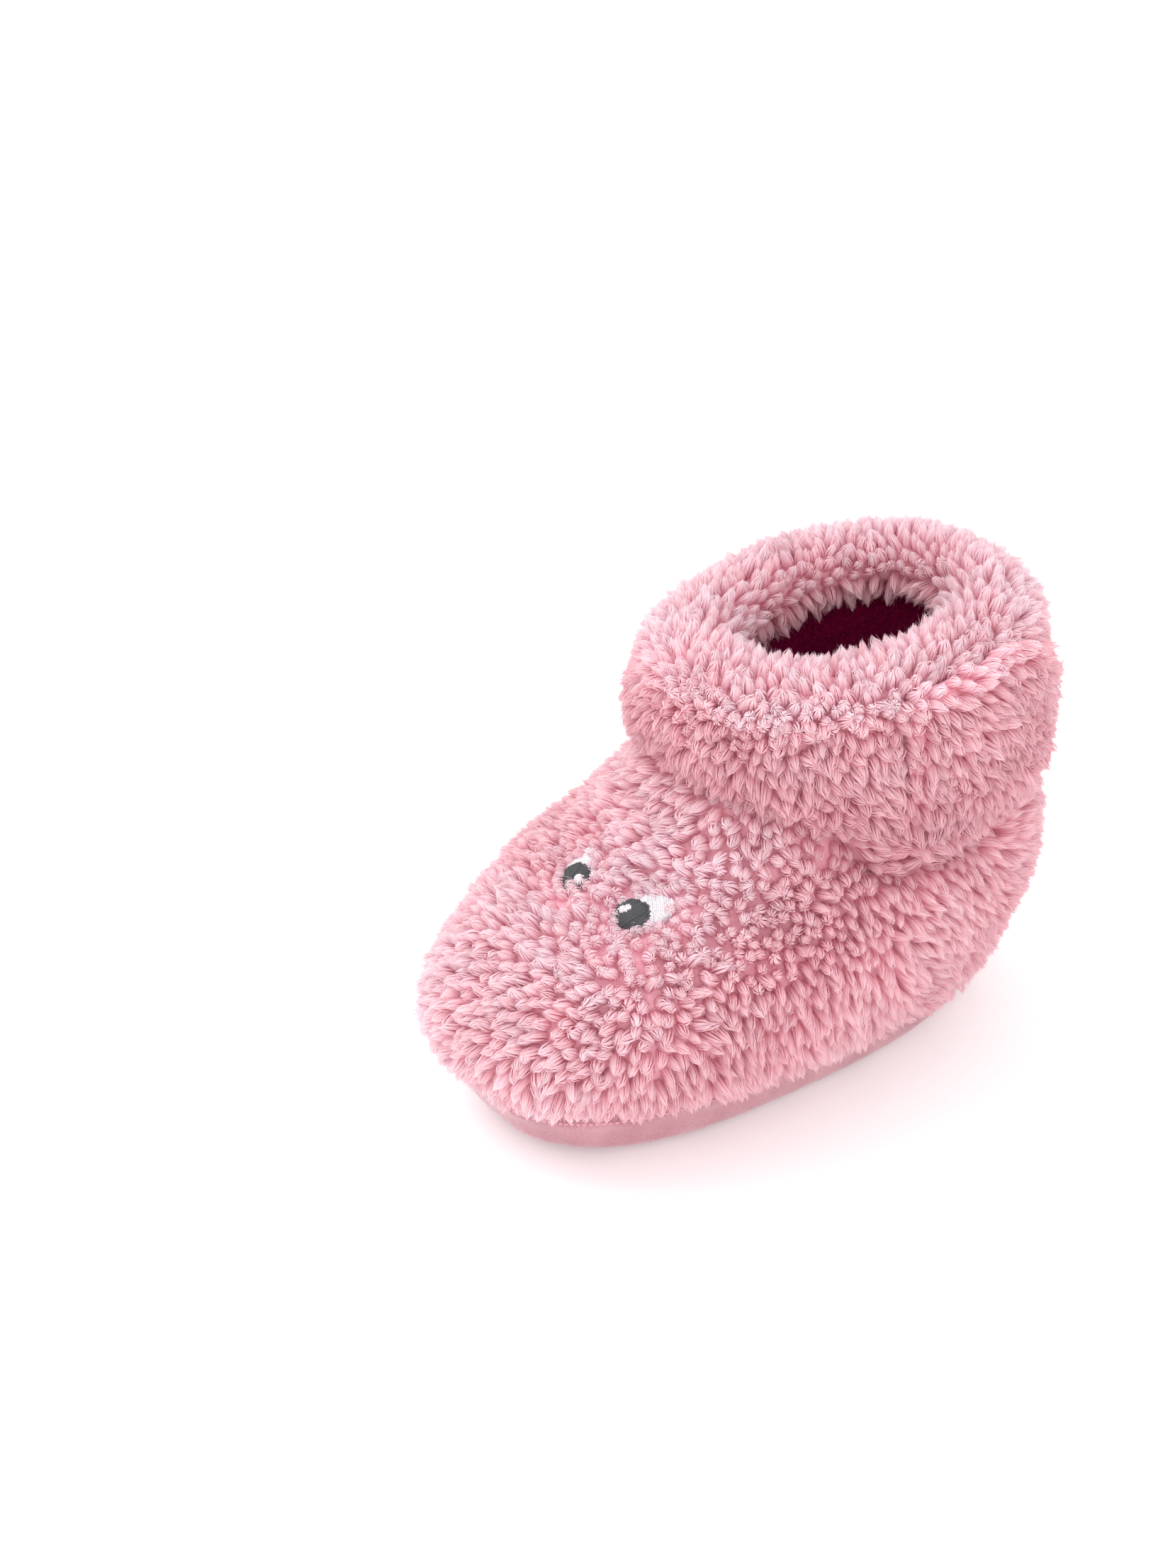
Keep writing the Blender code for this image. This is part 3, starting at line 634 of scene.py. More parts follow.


def foot_pile(turn, rise, roots, rng):
    count = len(turn)
    front = frontness(turn)
    side = np.sign((turn + 180.0) % 360.0 - 180.0)
    angle = side * (0.75 - 0.75 * front) + rng.normal(0, 0.32 + 0.15 * front, count)
    way, normal = leaning(turn, rise, roots, angle, 0.9, 3)
    hem = smoothstep(0.17, 0.10, rise)
    combed = smoothstep(45, 80, folded_turn(turn))
    length = rng.uniform(4.3, 5.5, count) * (1 - 0.25 * hem * front) + 0.8 * combed
    lean = rng.uniform(0.6, 1.15, count) + 0.15 * hem * (1 - front)
    lean = lean - 0.2 * front - 0.5 * hem * front
    eye = eye_share(roots)
    near_eye = smoothstep(2.6, 1.2, eye)
    length = length * (1 - 0.5 * near_eye) * (1 - 0.3 * groove_share(turn, rise))
    lean = lean + 0.15 * near_eye
    away = from_eye(roots)
    away = unit(away - (away * normal).sum(-1, keepdims=True) * normal)
    rimmed = smoothstep(1.7, 1.1, eye)[:, None]
    way = unit(way * (1 - 0.5 * rimmed) + 0.5 * away * rimmed)
    radius = rng.uniform(1.15, 1.5, count) * (1 - 0.2 * combed)
    # The ankle crease is darkened as painted shade.
    tone = colour_drift(roots, rng) - 0.10 * groove_share(turn, rise)
    # The toes and instep are paler as painted light.
    tone = tone + TOE_PAINTED_LIGHT * smoothstep(65, 30, folded_turn(turn))
    return normal, way, length, lean, radius, tone


RIM_PAINTED_LIGHT, SHAFT_PAINTED_SHADE = 0.15, 0.05  # painted light that makes the pile paler on the rim, and painted shade that makes it deeper below it


def shaft_pile(turn, rise, roots, rng):
    count = len(turn)
    way, normal = leaning(turn, rise, roots, rng.normal(0, 0.45, count), 1.0, 5)
    crest = smoothstep(0.95, 1.1, rise)
    length = rng.uniform(4.1, 5.3, count)
    lean = rng.uniform(0.45, 1.1, count) * (1 - 0.55 * crest)
    radius = rng.uniform(1.15, 1.5, count)
    # low marks the shaft's lower front, just above the ankle crease, which is darkened as painted
    # shade.
    over = rise - ankle_rise(turn)
    low = smoothstep(0.30, 0.12, over) * smoothstep(-0.02, 0.08, over)
    low = low * smoothstep(120, 40, folded_turn(turn))
    # The rim is paler as painted light, and the shaft below it darker as painted shade.
    tone = colour_drift(roots, rng) - 0.09 * low + RIM_PAINTED_LIGHT * crest - SHAFT_PAINTED_SHADE * (1 - crest)
    return normal, way, length, lean, radius, tone


def facing_pile(turn, rise, roots, rng):
    """On the roll's inner side the pile stands up and in; below it the pile hangs."""
    count = len(turn)
    hanging = smoothstep(1.42, 1.52, rise)
    way, normal = leaning(turn, rise, roots, rng.normal(0, 0.4, count), 0.5, 6)
    # Beyond the crest rise grows downwards, so this way points back up to the crest.
    way = way * (1 - 2 * (hanging > 0.5))[:, None]
    length = rng.uniform(4.4, 5.8, count)
    lean = rng.uniform(0.25, 0.75, count) + 0.35 * hanging
    radius = rng.uniform(1.0, 1.35, count)
    # The roll's top is paler as painted light.
    return normal, way, length, lean, radius, colour_drift(roots, rng) + RIM_PAINTED_LIGHT * (1 - hanging)


def under_flap(turn, rise):
    """Where the flap covers the shaft, with a margin round it, so no pile grows there."""
    margin_turn, margin_rise = 2.0, 0.02
    turn = turn % 360.0
    inside = (turn > HINGE_TURN - 1.0) & (turn < FLAP_END + margin_turn)
    over_foot = rise > ankle_rise(turn) + FLAP_LIFT - margin_rise
    return inside & over_foot & (rise < flap_top(turn) + margin_rise)


LATERAL_BARE, MEDIAL_BARE = 0.80, 0.66  # share of each eye that has no pile rooted in it
FRONT_HEM = 0.036  # rise that the pile leaves free over the band round the toes
SEAM_CLEAR, FLAP_CLEAR = 0.004, 0.006  # rise left free of roots beside seams and free edges
FOOT_RISES, SHAFT_RISES, FLAP_RISES = (0.086, 0.645), (0.49, CREST), (0.50, 1.12)


def grow_all(material):
    rng = np.random.default_rng(SEED)

    def below_ankle(turn, rise):
        return rise < ankle_rise(turn) - SEAM_CLEAR

    def behind_seam(turn, rise):
        return folded_turn(turn) >= side_seam_at(turn, rise)

    def is_vamp(turn, rise):
        covered = np.where(turn > 0, LATERAL_BARE, MEDIAL_BARE)
        bare = eye_share(skin(turn, rise)) < covered
        foot = UPPER_FOOT + FLAP_CLEAR + FRONT_HEM * frontness(turn)
        return below_ankle(turn, rise) & ~behind_seam(turn, rise) & (rise > foot) & ~bare

    def is_heel(turn, rise):
        return below_ankle(turn, rise) & behind_seam(turn, rise)

    def is_shaft(turn, rise):
        return (rise > ankle_rise(turn) + SEAM_CLEAR) & ~under_flap(turn, rise)

    def is_facing(turn, rise):
        return rise > CREST

    def is_flap(turn, rise):
        over_foot = rise > ankle_rise(turn) + FLAP_LIFT + FLAP_CLEAR
        return over_foot & (rise < flap_top(turn) - FLAP_CLEAR)

    front, back = (SHAFT_MEDIAL, HINGE_TURN), (HINGE_TURN, 360 + SHAFT_MEDIAL)
    flap = (HINGE_TURN + 1, FLAP_END)
    for name, turns, rises, accept, body, settings, depth in (
        ("toe_vamp", (-115, 115), FOOT_RISES, is_vamp, "boot", foot_pile, pile_depth),
        ("heel_quarter", (78, 282), FOOT_RISES, is_heel, "boot", foot_pile, pile_depth),
        ("shaft_front", front, SHAFT_RISES, is_shaft, "boot", shaft_pile, pile_depth),
        ("shaft_back", back, SHAFT_RISES, is_shaft, "boot", shaft_pile, pile_depth),
        ("facing", (0, 360), (CREST, FACING_END), is_facing, "boot", facing_pile, pile_depth),
        ("closure_flap", flap, FLAP_RISES, is_flap, "flap", shaft_pile, flap_pile_depth),
    ):
        places = scatter(turns, rises, accept, rng)
        pile_pieces(name, places, body, settings, rng, material, depth)


# ---- backing, lining and the other soft parts ----

BACKING_UNDER = 0.25  # depth of the backing under the pile's roots
BACKING_FOOT = 0.070  # rise of its lower edge, behind the suede band


def edge_fade(across, along, width=0.05):
    edge = np.minimum(np.minimum(across, 1 - across), np.minimum(along, 1 - along))
    return (1 - np.clip(edge / width, 0.0, 1.0)) ** 2


def soft_shell(name, outer, inner, material, body, nodes, ring=False):
    obj = shell_mesh(name, outer, inner, material, ring)
    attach(obj, body)
    if nodes:
        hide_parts(*nodes)
    return obj


def foot_grid(part, foot=UPPER_FOOT, rows=41, columns=81):
    """Places on the vamp or the heel quarter, from seam to seam."""
    along, across = spans(rows, columns)
    seam = SIDE_SEAM_FOOT + (SIDE_SEAM_TOP - SIDE_SEAM_FOOT) * smoothstep(0.1, 1.0, along)
    if part == "vamp":
        turn = -seam + 2 * seam * across
        top_turn = SIDE_SEAM_TOP * (2 * across - 1)
    else:
        turn = seam + (360 - 2 * seam) * across
        top_turn = SIDE_SEAM_TOP + (360 - 2 * SIDE_SEAM_TOP) * across
    rise = foot + along * (ankle_rise(top_turn) - GAP - foot)
    return turn, rise, across, along


def foot_backing(backing):
    for part, node in (("vamp", "toe_vamp"), ("heel", "heel_quarter")):
        turn, rise, across, along = foot_grid(part, BACKING_FOOT)
        depth = pile_depth(turn, rise) + BACKING_UNDER + edge_fade(across, along)
        outer = at_depth(turn, rise, depth)
        inner = at_depth(turn, rise, FLEECE * thinning(rise))
        shell = soft_shell(node + "_backing", outer, inner, backing, "boot", [node])


def shaft_backing(backing):
    for name, start, end in (
        ("shaft_front", SHAFT_MEDIAL + GAP_TURN, HINGE_TURN - GAP_TURN),
        ("shaft_back", HINGE_TURN + GAP_TURN, 360 + SHAFT_MEDIAL - GAP_TURN),
    ):
        along, turn = spans(61, 91, start, end)
        low = ankle_rise(turn) + GAP
        rise = low + (CREST - GAP - low) * along
        depth = pile_depth(turn, rise) + BACKING_UNDER
        depth = depth + edge_fade(np.full_like(along, 0.5), along)
        if name == "shaft_back":
            depth = np.maximum(depth, FLAP_UNDER * covered_share(turn, rise))
            depth = np.maximum(depth, POCKET_DEPTH * pocket_share(turn, rise))
        inner = at_depth(turn, rise, FLEECE)
        outer = at_depth(turn, rise, np.minimum(depth, FLEECE - 0.3))
        shell = soft_shell(name + "_backing", outer, inner, backing, "boot", [name])


def plateau(value, start, end, outer, inner):
    """1 from start to end and for inner beyond them, falling to 0 at outer beyond them."""
    rising = smoothstep(start - outer, start - inner, value)
    return rising * smoothstep(end + outer, end + inner, value)


def covered_share(turn, rise):
    """1 where the flap lies over the shaft, falling to 0 beside it."""
    beside = smoothstep(HINGE_TURN, HINGE_TURN + 4, turn)
    beside = beside * smoothstep(FLAP_END + 9, FLAP_END + 3, turn)
    below = smoothstep(0.0, 0.03, rise - ankle_rise(turn))
    return beside * below * smoothstep(0.08, 0.04, rise - flap_top(turn))


def pocket_share(turn, rise):
    """1 where the tape patches lie, falling to 0 round them."""
    return plateau(turn, *PATCH_TURN, 8, 3) * plateau(rise, *PATCH_RISE, 0.05, 0.02)


def facing_backing(backing):
    along, turn = ring_spans(31, 180)
    rise = CREST + GAP + (FACING_END - CREST - GAP) * along
    tail = 2.0 * smoothstep(0.85, 1.0, along)
    outer = at_depth(turn, rise, pile_depth(turn, rise) + BACKING_UNDER + tail)
    inner = at_depth(turn, rise, FLEECE - FACING_THIN)
    nodes = ["facing_front", "facing_lateral", "facing_back", "facing_medial"]
    shell = soft_shell("facing_backing", outer, inner, backing, "boot", nodes, ring=True)


def flap_grid(rows, columns, inset=0.0):
    along, across = spans(rows, columns)
    corner = 1.0 - 0.10 * np.abs(2 * along - 1) ** 3
    turn = HINGE_TURN + GAP_TURN + (FLAP_END - HINGE_TURN - GAP_TURN - inset) * corner * across
    low = ankle_rise(turn) + FLAP_LIFT + inset * 0.006
    high = flap_top(turn) - inset * 0.006
    return turn, low + (high - low) * along, across, along


FLAP_HEM = 1.6  # degrees of turn between the flap's edge and its lining's
FLAP_SEAM = (0.10, 0.90)  # shares of the flap's height that its two rows of stitches run at


def flap_pieces(backing, suede, stitches):
    turn, rise, across, along = flap_grid(41, 61)
    fade = edge_fade(np.maximum(across, 0.5), along)
    depth = np.minimum(flap_pile_depth(turn, rise) + BACKING_UNDER + fade, FLAP_FLEECE_IN - 0.2)
    outer = at_depth(turn, rise, depth)
    inner = at_depth(turn, rise, FLAP_FLEECE_IN)
    shell = soft_shell("closure_flap_backing", outer, inner, backing, "flap", ["closure_flap"])
    turn, rise, across, along = flap_grid(41, 61, FLAP_HEM)
    puff = 0.015 * soft_noise(skin(turn, rise), 0.8, 41)
    margin = np.minimum(np.minimum(along, 1 - along), 1 - across)
    hem = 0.11 * hill(margin - 0.06, 0.02)
    edge = 0.9 * edge_fade(np.maximum(across, 0.5), along, 0.08)
    outer = at_depth(turn, rise, FLAP_FLEECE_IN)
    inner = at_depth(turn, rise, FLAP_LINING[1] + puff - hem - edge)
    soft_shell("flap_lining_cloth", outer, inner, suede, "flap", ["flap_lining"])
    there, back = np.linspace(0, 1, 40), np.linspace(1, 0, 40)
    turns = HINGE_TURN + 8 + (FLAP_END - 14 - HINGE_TURN) * np.concatenate([there, back])
    low, high = ankle_rise(turns) + FLAP_LIFT, flap_top(turns)
    rises = low + (high - low) * np.repeat(FLAP_SEAM, 40)
    depth = FLAP_LINING[1] + 0.05
    stitched_line("flap_hem_stitches", turns, rises, depth, stitches, "flap")


def tubes_mesh(name, lines, radius, material, sides=6):
    """Round threads along rows of points, closed at their ends. lines is (threads, points, 3)."""
    lines = np.asarray(lines, float)
    count, steps, _ = lines.shape
    ahead = unit(np.gradient(lines, axis=1))
    reference = np.where(np.abs(ahead[..., 2:3]) < 0.9, [[[0.0, 0.0, 1.0]]], [[[1.0, 0.0, 0.0]]])
    first = unit(np.cross(ahead, reference))
    second = np.cross(ahead, first)
    angle = np.linspace(0, math.tau, sides, endpoint=False)
    taper = np.ones(steps)
    taper[[0, -1]] = 0.45
    ring = np.cos(angle)[:, None] * first[:, :, None] + np.sin(angle)[:, None] * second[:, :, None]
    points = lines[:, :, None] + radius * taper[None, :, None, None] * ring
    quads = grid_quads(steps, sides, True)
    thread = np.arange(count)[:, None, None] * steps * sides
    walls = (quads[None] + thread).reshape(-1)
    caps = np.concatenate([np.arange(sides)[::-1], (steps - 1) * sides + np.arange(sides)])
    loops = np.concatenate([walls, (caps[None] + thread[:, 0]).reshape(-1)])
    counts = np.concatenate([np.full(len(walls) // 4, 4), np.full(count * 2, sides)])
    return fast_mesh(name, points.reshape(-1, 3), loops, counts, material)


STITCH_SHARE = 0.62  # of the way from one needle hole to the next


def stitched_line(name, turns, rises, depth, material, body, radius=0.16):
    """A row of sunk running stitches through the given places."""
    centre = at_depth(turns, rises, depth)
    share = np.linspace(0.5 - STITCH_SHARE / 2, 0.5 + STITCH_SHARE / 2, 5)[:, None]
    lines = centre[:-1, None] + np.diff(centre, axis=0)[:, None] * share
    obj = tubes_mesh(name, lines, radius, material)
    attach(obj, body)


def lining_shells(lining):
    """The foot and shaft linings, with shallow folds where the cloth is loose."""
    for part in ("vamp", "heel"):
        line_shell(part + "_lining", *foot_grid(part)[:2], lining, False)
    along, turn = ring_spans(41, 180)
    low = ankle_rise(turn) + GAP
    line_shell("shaft_lining", turn, low + (INNER_TOP - low) * along, lining, True)


def line_shell(node, turn, rise, lining, ring):
    thin = thinning(rise)
    depth = (FLEECE + PADDING) * thin + 2 * LAYER_GAP
    folds = np.clip(soft_noise(skin(turn, rise), 0.30, 21) + 0.4, 0, 1) ** 2
    outer = at_depth(turn, rise, depth)
    inner = at_depth(turn, rise, depth + LINING + 0.5 * folds)
    soft_shell(node + "_cloth", outer, inner, lining, "boot", [node], ring)


BAND_LAP_BACK = 0.008  # rise that the band laps up over the fleece
BAND_LAP = 0.024  # how much more it laps round the toes


def sole_band(suede, stitches):
    """The suede band round the sole, full between its sewn edges and puckered at toe and heel."""
    along, turn = ring_spans(21, 360)
    front = frontness(turn)
    rise = (WRAP_TOP + BAND_LAP_BACK + BAND_LAP * front) * along
    points = skin(turn, rise)
    full = np.sin(math.pi * along)
    crown = (0.6 + 0.5 * front) * full**0.6 + 0.2
    ends = smoothstep(0.45, 1.0, np.abs(np.cos(np.radians(turn))))
    pucker = 0.16 * soft_noise(points, 0.9, 31) * ends * full + 0.05 * soft_noise(points, 2.2, 32)
    tuck = 0.1 + 2.4 * front * smoothstep(0.84, 1.0, along) ** 2
    outer = at_depth(turn, rise, tuck - crown - pucker)
    inner = at_depth(turn, rise, WRAP_THICK + 1.6 * front * smoothstep(0.84, 1.0, along))
    nodes = ["sole_wrap"]
    soft_shell("sole_wrap_band", outer, inner, suede, "boot", nodes, ring=True)
    around = np.linspace(0, 360, 181)
    level = WRAP_TOP + BAND_LAP_BACK + BAND_LAP * frontness(around) - 0.007
    stitched_line("sole_wrap_stitches", around, level, -0.45, stitches, "boot")


# ---- eyes ----

THREAD_PITCH, THREAD_RADIUS, RAGGED = 0.40, 0.26, 0.2  # ragged is the spread of their ends


def eye_place(eye_turn, along, over, depth):
    """Points of an eye from its own coordinates, following the vamp's curve."""
    centre, long, short, normal = eye_axes(eye_turn)
    flat = centre + along[..., None] * long + over[..., None] * short
    bend = (along**2 / 70.0 + over**2 / 46.0)[..., None]
    return flat - normal * (bend + np.asarray(depth)[..., None])


def satin_oval(name, eye_turn, half, shift, level, slant, material, node, rng):
    """An oval filled with satin stitches: level threads side by side over a low dome."""

    def slanted(share, row):
        return share * cosine - row * sine, share * sine + row * cosine

    cosine, sine = math.cos(slant), math.sin(slant)
    reach = math.hypot(*half)
    rows = np.arange(-reach, reach, THREAD_PITCH)
    lines = []
    for row in rows + rng.normal(0, 0.03, len(rows)):
        share = np.linspace(-reach, reach, 241)
        along, over = slanted(share, row)
        share = share[(along / half[0]) ** 2 + (over / half[1]) ** 2 < 1.0]
        if len(share) < 6:
            continue
        low = share[0] + rng.normal(0, RAGGED)
        high = share[-1] + rng.normal(0, RAGGED)
        along, over = slanted(np.linspace(low, high, 9), row)
        fall = (along / half[0] / 1.1) ** 2 + (over / half[1] / 1.1) ** 2
        dome = 0.55 * np.sqrt(np.clip(1 - fall, 0, 1)) + rng.normal(0, 0.03)
        lines.append(eye_place(eye_turn, along + shift[0], over + shift[1], level - dome))
    threads = tubes_mesh(name + "_threads", lines, THREAD_RADIUS, material)
    angle, ring = np.meshgrid(np.linspace(0, math.tau, 49)[:-1], np.linspace(0.05, 0.94, 7))
    along = half[0] * ring * np.cos(angle) + shift[0]
    over = half[1] * ring * np.sin(angle) + shift[1]
    dome = 0.45 * np.sqrt(1 - ring**2)
    top = eye_place(eye_turn, along, over, level - dome + 0.1)
    under = eye_place(eye_turn, along, over, level + 1.6)
    pad = shell_mesh(name + "_pad", top, under, material, ring=True)
    for obj in (threads, pad):
        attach(obj, "boot")
    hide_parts(node)


def make_eyes(white, charcoal):
    rng = np.random.default_rng(SEED + 1)
    for label, eye_turn in EYE_TURNS:
        for layer, half, shift, level, slant, material, slot in (
            ("white", WHITE_HALF, (0.0, 0.0), 2.2, 1.35, white, "white_thread"),
            ("pupil", PUPIL_HALF, (PUPIL_SHIFT, 0.0), 1.7, 0.25, charcoal, "charcoal_thread"),
            ("glint", GLINT_HALF, GLINT_SHIFT, 1.3, 1.2, white, "white_thread"),
        ):
            name = f"{label}_eye_{layer}"
            satin_oval(name, eye_turn, half, shift, level, slant, material, name, rng)


# ---- closure tape and insole ----

HOOK_PITCH, LOOP_PITCH = 1.15, 0.95
BOX_INSET = 0.07  # share of the patch outside its box stitching


def patch_places(pitch, margin):
    """Turns and rises of an even grid over the tape patches."""
    turn, rise = np.array([sum(PATCH_TURN) / 2]), np.array([sum(PATCH_RISE) / 2])
    here = skin(turn, rise)
    per_turn = np.linalg.norm(skin(turn + 1, rise) - here)
    per_rise = np.linalg.norm(skin(turn, rise + 0.01) - here) * 100
    places = [
        np.arange(start + margin / rate, end - margin / rate, pitch / rate)
        for (start, end), rate in ((PATCH_TURN, per_turn), (PATCH_RISE, per_rise))
    ]
    return [values.ravel() for values in np.meshgrid(*places, indexing="ij")]


def on_patch(across, along):
    """The turn and rise of places given as shares of the patch."""
    turn = PATCH_TURN[0] + (PATCH_TURN[1] - PATCH_TURN[0]) * across
    return turn, PATCH_RISE[0] + (PATCH_RISE[1] - PATCH_RISE[0]) * along


def tape_patch(name, depths, material, stitches, body, faces_in):
    """A tape patch with rounded edges and a row of box stitching."""
    along, across = spans(25, 33)
    turn, rise = on_patch(across, along)
    edge = 0.25 * edge_fade(across, along)
    outer = at_depth(turn, rise, depths[0] + (0.0 if faces_in else 1.0) * edge)
    inner = at_depth(turn, rise, depths[1] - (1.0 if faces_in else 0.0) * edge)
    soft_shell(name + "_tape", outer, inner, material, body, [name])
    low, high = BOX_INSET, 1 - BOX_INSET
    holes = np.array([0, 13, 22, 35, 44])  # needle holes passed by each corner of the box
    passed = np.arange(holes[-1] + 1)
    across = np.interp(passed, holes, (low, high, high, low, low))
    turns, rises = on_patch(across, np.interp(passed, holes, (low, low, high, high, low)))
    depth = depths[1] + 0.08 if faces_in else depths[0] - 0.08
    stitched_line(name + "_box_stitches", turns, rises, depth, stitches, body, 0.14)


def make_hooks(material, rng):
    """Small bent hooks that stand on the inner face of the flap's tape."""
    turn, rise = patch_places(HOOK_PITCH, 2.4)
    base = at_depth(turn, rise, HOOK_DEPTH[1] - 0.05)
    across, _, normal = tangents(turn, rise)
    bend = np.linspace(0, 1, 7)[None, :, None]
    rise_in = 0.55 * np.sin(bend * 2.2)
    reach = 0.30 * (1 - np.cos(bend * 2.6)) * rng.choice([-1.0, 1.0], (len(turn), 1, 1))
    lines = base[:, None] - normal[:, None] * rise_in + across[:, None] * reach
    hooks = tubes_mesh("hook_patch_hooks", lines, 0.09, material, sides=5)
    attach(hooks, "flap")


def make_loops(material, rng):
    """Fine tangled loops on the outer face of the boot's tape."""
    turn, rise = patch_places(LOOP_PITCH, 2.0)
    base = at_depth(turn, rise, LOOP_DEPTH[0] + 0.05)
    across, up, normal = tangents(turn, rise)
    heading = rng.uniform(0, math.tau, len(turn))[:, None]
    way = np.cos(heading) * across + np.sin(heading) * up
    arch = np.linspace(0, math.pi, 8)[None, :, None]
    height = rng.uniform(0.35, 0.6, (len(turn), 1, 1))
    stand = normal[:, None] * height * np.sin(arch)
    lines = base[:, None] + stand - way[:, None] * 0.55 * np.cos(arch)
    loops = tubes_mesh("loop_patch_loops", lines, 0.06, material, sides=5)
    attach(loops, "boot")


INSOLE_Z, INSOLE_RISE, INSOLE_INSET, QUILT_PITCH = (9.8, 13.0), 0.085, 7.0, 11.0


def insole_pad(material, stitches):
    """The quilted footbed: puffed diamonds between stitched valleys, thinner at its edge."""
    turn = np.linspace(0, 360, 241)[:-1]
    level = np.full(len(turn), INSOLE_RISE)
    edge = skin(turn, level) - INSOLE_INSET * unit(outward(turn, level) * np.array([1.0, 1.0, 0.0]))
    centre = edge.mean(axis=0)
    share = np.linspace(1.0, 0.02, 50)[:, None, None]
    flat = (centre + (edge - centre) * share)[..., :2]
    ways = np.array([(0.7, 0.7), (0.7, -0.7)])
    valleys = [np.abs((flat @ way / QUILT_PITCH) % 1.0 - 0.5) * 2 for way in ways]
    puff = np.clip(1 - np.maximum(*valleys) ** 6, 0, 1) ** 0.7
    rounded = np.sqrt(np.clip(1 - ((share[..., 0] - 0.88) / 0.12).clip(0, 1) ** 2, 0, 1))
    top_z = INSOLE_Z[0] + 0.4 + (INSOLE_Z[1] - INSOLE_Z[0] - 1.3) * rounded + 0.8 * puff * rounded
    top = np.dstack([flat, top_z])
    under = np.dstack([flat, np.full_like(top_z, INSOLE_Z[0])])
    nodes = ["insole"]
    pad = soft_shell("insole_pad", top, under, material, "boot", nodes, ring=True)
    ring = centre + (edge - centre) * 0.86
    ring[:, 2] = INSOLE_Z[1] - 0.25
    stitch = np.linspace(0.2, 0.8, 4)[:, None]
    lines = ring[:, None] + (np.roll(ring, -1, axis=0) - ring)[:, None] * stitch
    seam = tubes_mesh("insole_stitches", lines, 0.15, stitches)
    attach(seam, "boot")


PADDINGS = ["vamp_padding", "heel_padding", "shaft_padding"]


def dress(nodes, material):
    """Gives these CAD nodes a better material."""
    for name in nodes:
        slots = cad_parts[name].data.materials
        slots.clear()
        slots.append(material)


def inner_materials():
    for nodes, name, dark, light, scale, roughness, bump in (
        (PADDINGS, "white_wadding", (0.80, 0.78, 0.75), (0.92, 0.90, 0.88), 700.0, 0.95, 0.0006),
        (["midsole"], "soft_foam", (0.72, 0.52, 0.55), (0.84, 0.68, 0.70), 1800.0, 0.9, 0.0003),
        (["grip_outsole"], "grip_rubber", (0.62, 0.30, 0.38), (0.72, 0.40, 0.48), 1200.0, 0.6, 0.0001),
        (["insole_board"], "fibre_board", (0.40, 0.30, 0.21), (0.60, 0.48, 0.36), 900.0, 0.9, 0.0002),
    ):
        dress(nodes, plain_pattern(name, dark, light, scale, roughness, bump))


# ---- stage, lights and camera ----

CAMERA_AZIMUTH, CAMERA_ELEVATION, CAMERA_ROLL = 53.0, 30.0, 2.2
CAMERA_DISTANCE = 550.0
CAMERA_TARGET = (-35.5, -17.0, 51.4)
FOCAL_PIXELS = 3545.0
IMAGE_HEIGHT = 2212.0
SENSOR = 36.0
FLOOR_HALF = 3000.0
LIGHTS_AIM = Vector((0.0, 0.0, 0.04))  # in metres, as the lights are


def make_camera():
    azimuth, elevation = math.radians(CAMERA_AZIMUTH), math.radians(CAMERA_ELEVATION)
    roll = math.radians(CAMERA_ROLL)
    level = math.cos(elevation)
    away = (math.sin(azimuth) * level, -math.cos(azimuth) * level, math.sin(elevation))
    back, side = Vector(away), Vector((math.cos(azimuth), math.sin(azimuth), 0.0))
    above = back.cross(side)
    right = side * math.cos(roll) + above * math.sin(roll)
    up = above * math.cos(roll) - side * math.sin(roll)
    data = bpy.data.cameras.new("camera")
    data.sensor_fit = "VERTICAL"
    data.sensor_height = SENSOR
    data.lens = FOCAL_PIXELS / IMAGE_HEIGHT * SENSOR
    data.clip_start, data.clip_end = 0.01, 20.0
    camera = add_object("camera", data)
    place = (Vector(CAMERA_TARGET) + back * CAMERA_DISTANCE) * MM
    turned = Matrix((right, up, back)).transposed().to_4x4()
    camera.matrix_world = Matrix.Translation(place) @ turned
    bpy.context.scene.camera = camera


def area_light(name, place, size, power):
    data = bpy.data.lights.new(name, "AREA")
    data.shape = "RECTANGLE"
    data.size = data.size_y = size
    data.energy = power
    light = add_object(name, data)
    light.location = place
    direction = LIGHTS_AIM - light.location
    light.rotation_euler = direction.to_track_quat("-Z", "Y").to_euler()


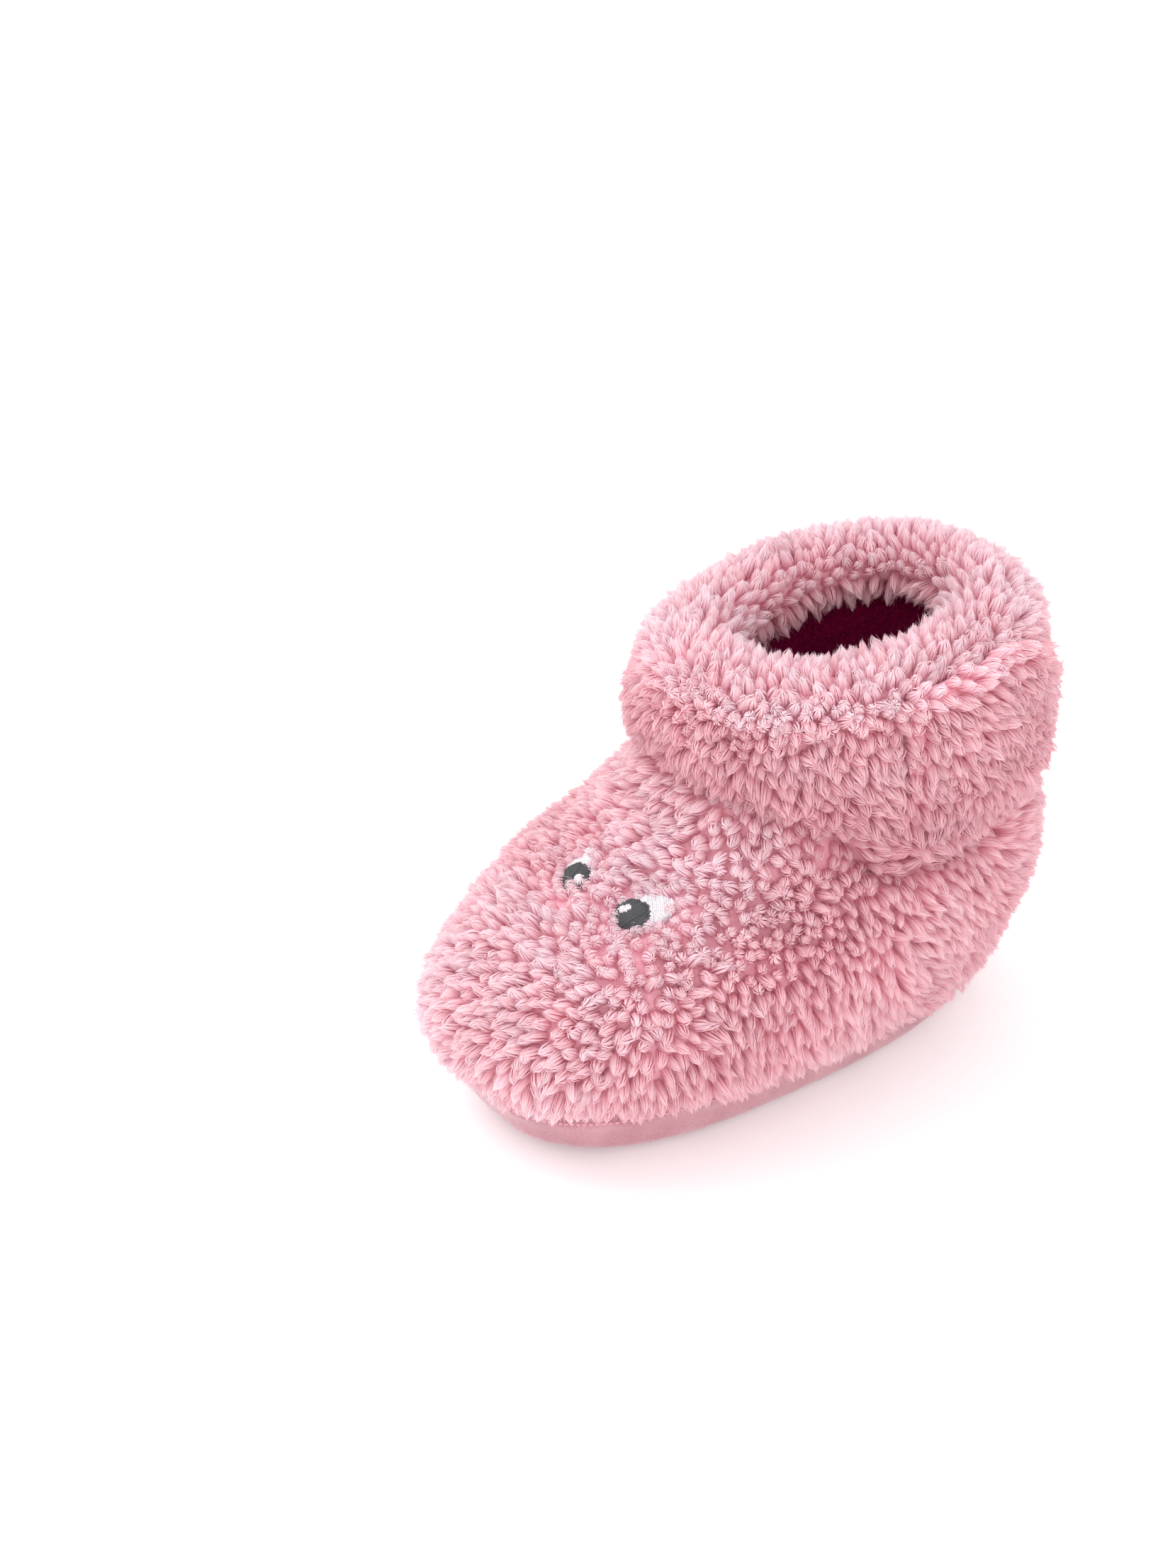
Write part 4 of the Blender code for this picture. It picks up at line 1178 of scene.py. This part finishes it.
def make_stage():
    material, tree, shader = new_material("studio_floor")
    noise = noise_node(tree, 3.0, 2.0)
    stops = [(0.3, (0.94, 0.94, 0.94)), (0.7, (0.96, 0.96, 0.96))]
    colour = ramp_node(tree, noise.outputs["Fac"], stops)
    tree.links.new(colour.outputs["Color"], shader.inputs["Base Color"])
    tree.links.new(colour.outputs["Color"], shader.inputs["Emission Color"])
    put(shader, {"Roughness": 0.9, "Emission Strength": 0.15})
    points = FLOOR_HALF * np.array([(-1.0, -1, 0), (1, -1, 0), (1, 1, 0), (-1, 1, 0)])
    floor = quads_mesh("studio_floor", points, [(0, 1, 2, 3)], material)
    world = bpy.data.worlds.new("studio")
    world.use_nodes = True
    background = world.node_tree.nodes["Background"]
    put(background, {"Color": (1.0, 1.0, 1.0, 1.0), "Strength": 1.1})
    bpy.context.scene.world = world
    bpy.context.scene.view_settings.view_transform = "Standard"
    area_light("key", (-0.55, -0.35, 0.95), 0.9, 6.0)
    area_light("fill", (0.9, -0.5, 0.5), 0.8, 3.0)


def main():
    make_camera()
    make_stage()
    backing = backing_material()
    suede = suede_material()
    stitches = thread_material("pink_stitching", (0.78, 0.34, 0.43), (0.92, 0.52, 0.60), 0.6)
    foot_backing(backing)
    shaft_backing(backing)
    facing_backing(backing)
    flap_pieces(backing, suede, stitches)
    lining_shells(lining_material())
    sole_band(suede, stitches)
    white = thread_material("white_embroidery", (0.55, 0.50, 0.54), (0.86, 0.83, 0.86), 0.45)
    dark, light = (0.012, 0.013, 0.016), (0.06, 0.062, 0.07)
    make_eyes(white, thread_material("charcoal_embroidery", dark, light, 0.5))
    rng = np.random.default_rng(SEED + 2)
    hook = plain_pattern("hook_tape", (0.66, 0.34, 0.42), (0.82, 0.52, 0.60), 2500.0, 0.5, 0.0001)
    loop = plain_pattern("loop_tape", (0.62, 0.30, 0.38), (0.82, 0.48, 0.56), 2500.0, 0.9, 0.0002)
    tape_patch("hook_patch", HOOK_DEPTH, hook, stitches, "flap", True)
    make_hooks(hook, rng)
    tape_patch("loop_patch", LOOP_DEPTH, loop, stitches, "boot", False)
    make_loops(loop, rng)
    dark, light = (0.06, 0.004, 0.016), (0.16, 0.012, 0.045)
    footbed = plain_pattern("maroon_footbed", dark, light, 1500.0, 0.9, 0.0003)
    dark, light = (0.10, 0.006, 0.03), (0.26, 0.02, 0.08)
    insole_pad(footbed, thread_material("maroon_stitching", dark, light, 0.6))
    inner_materials()
    grow_all(pile_material())


main()
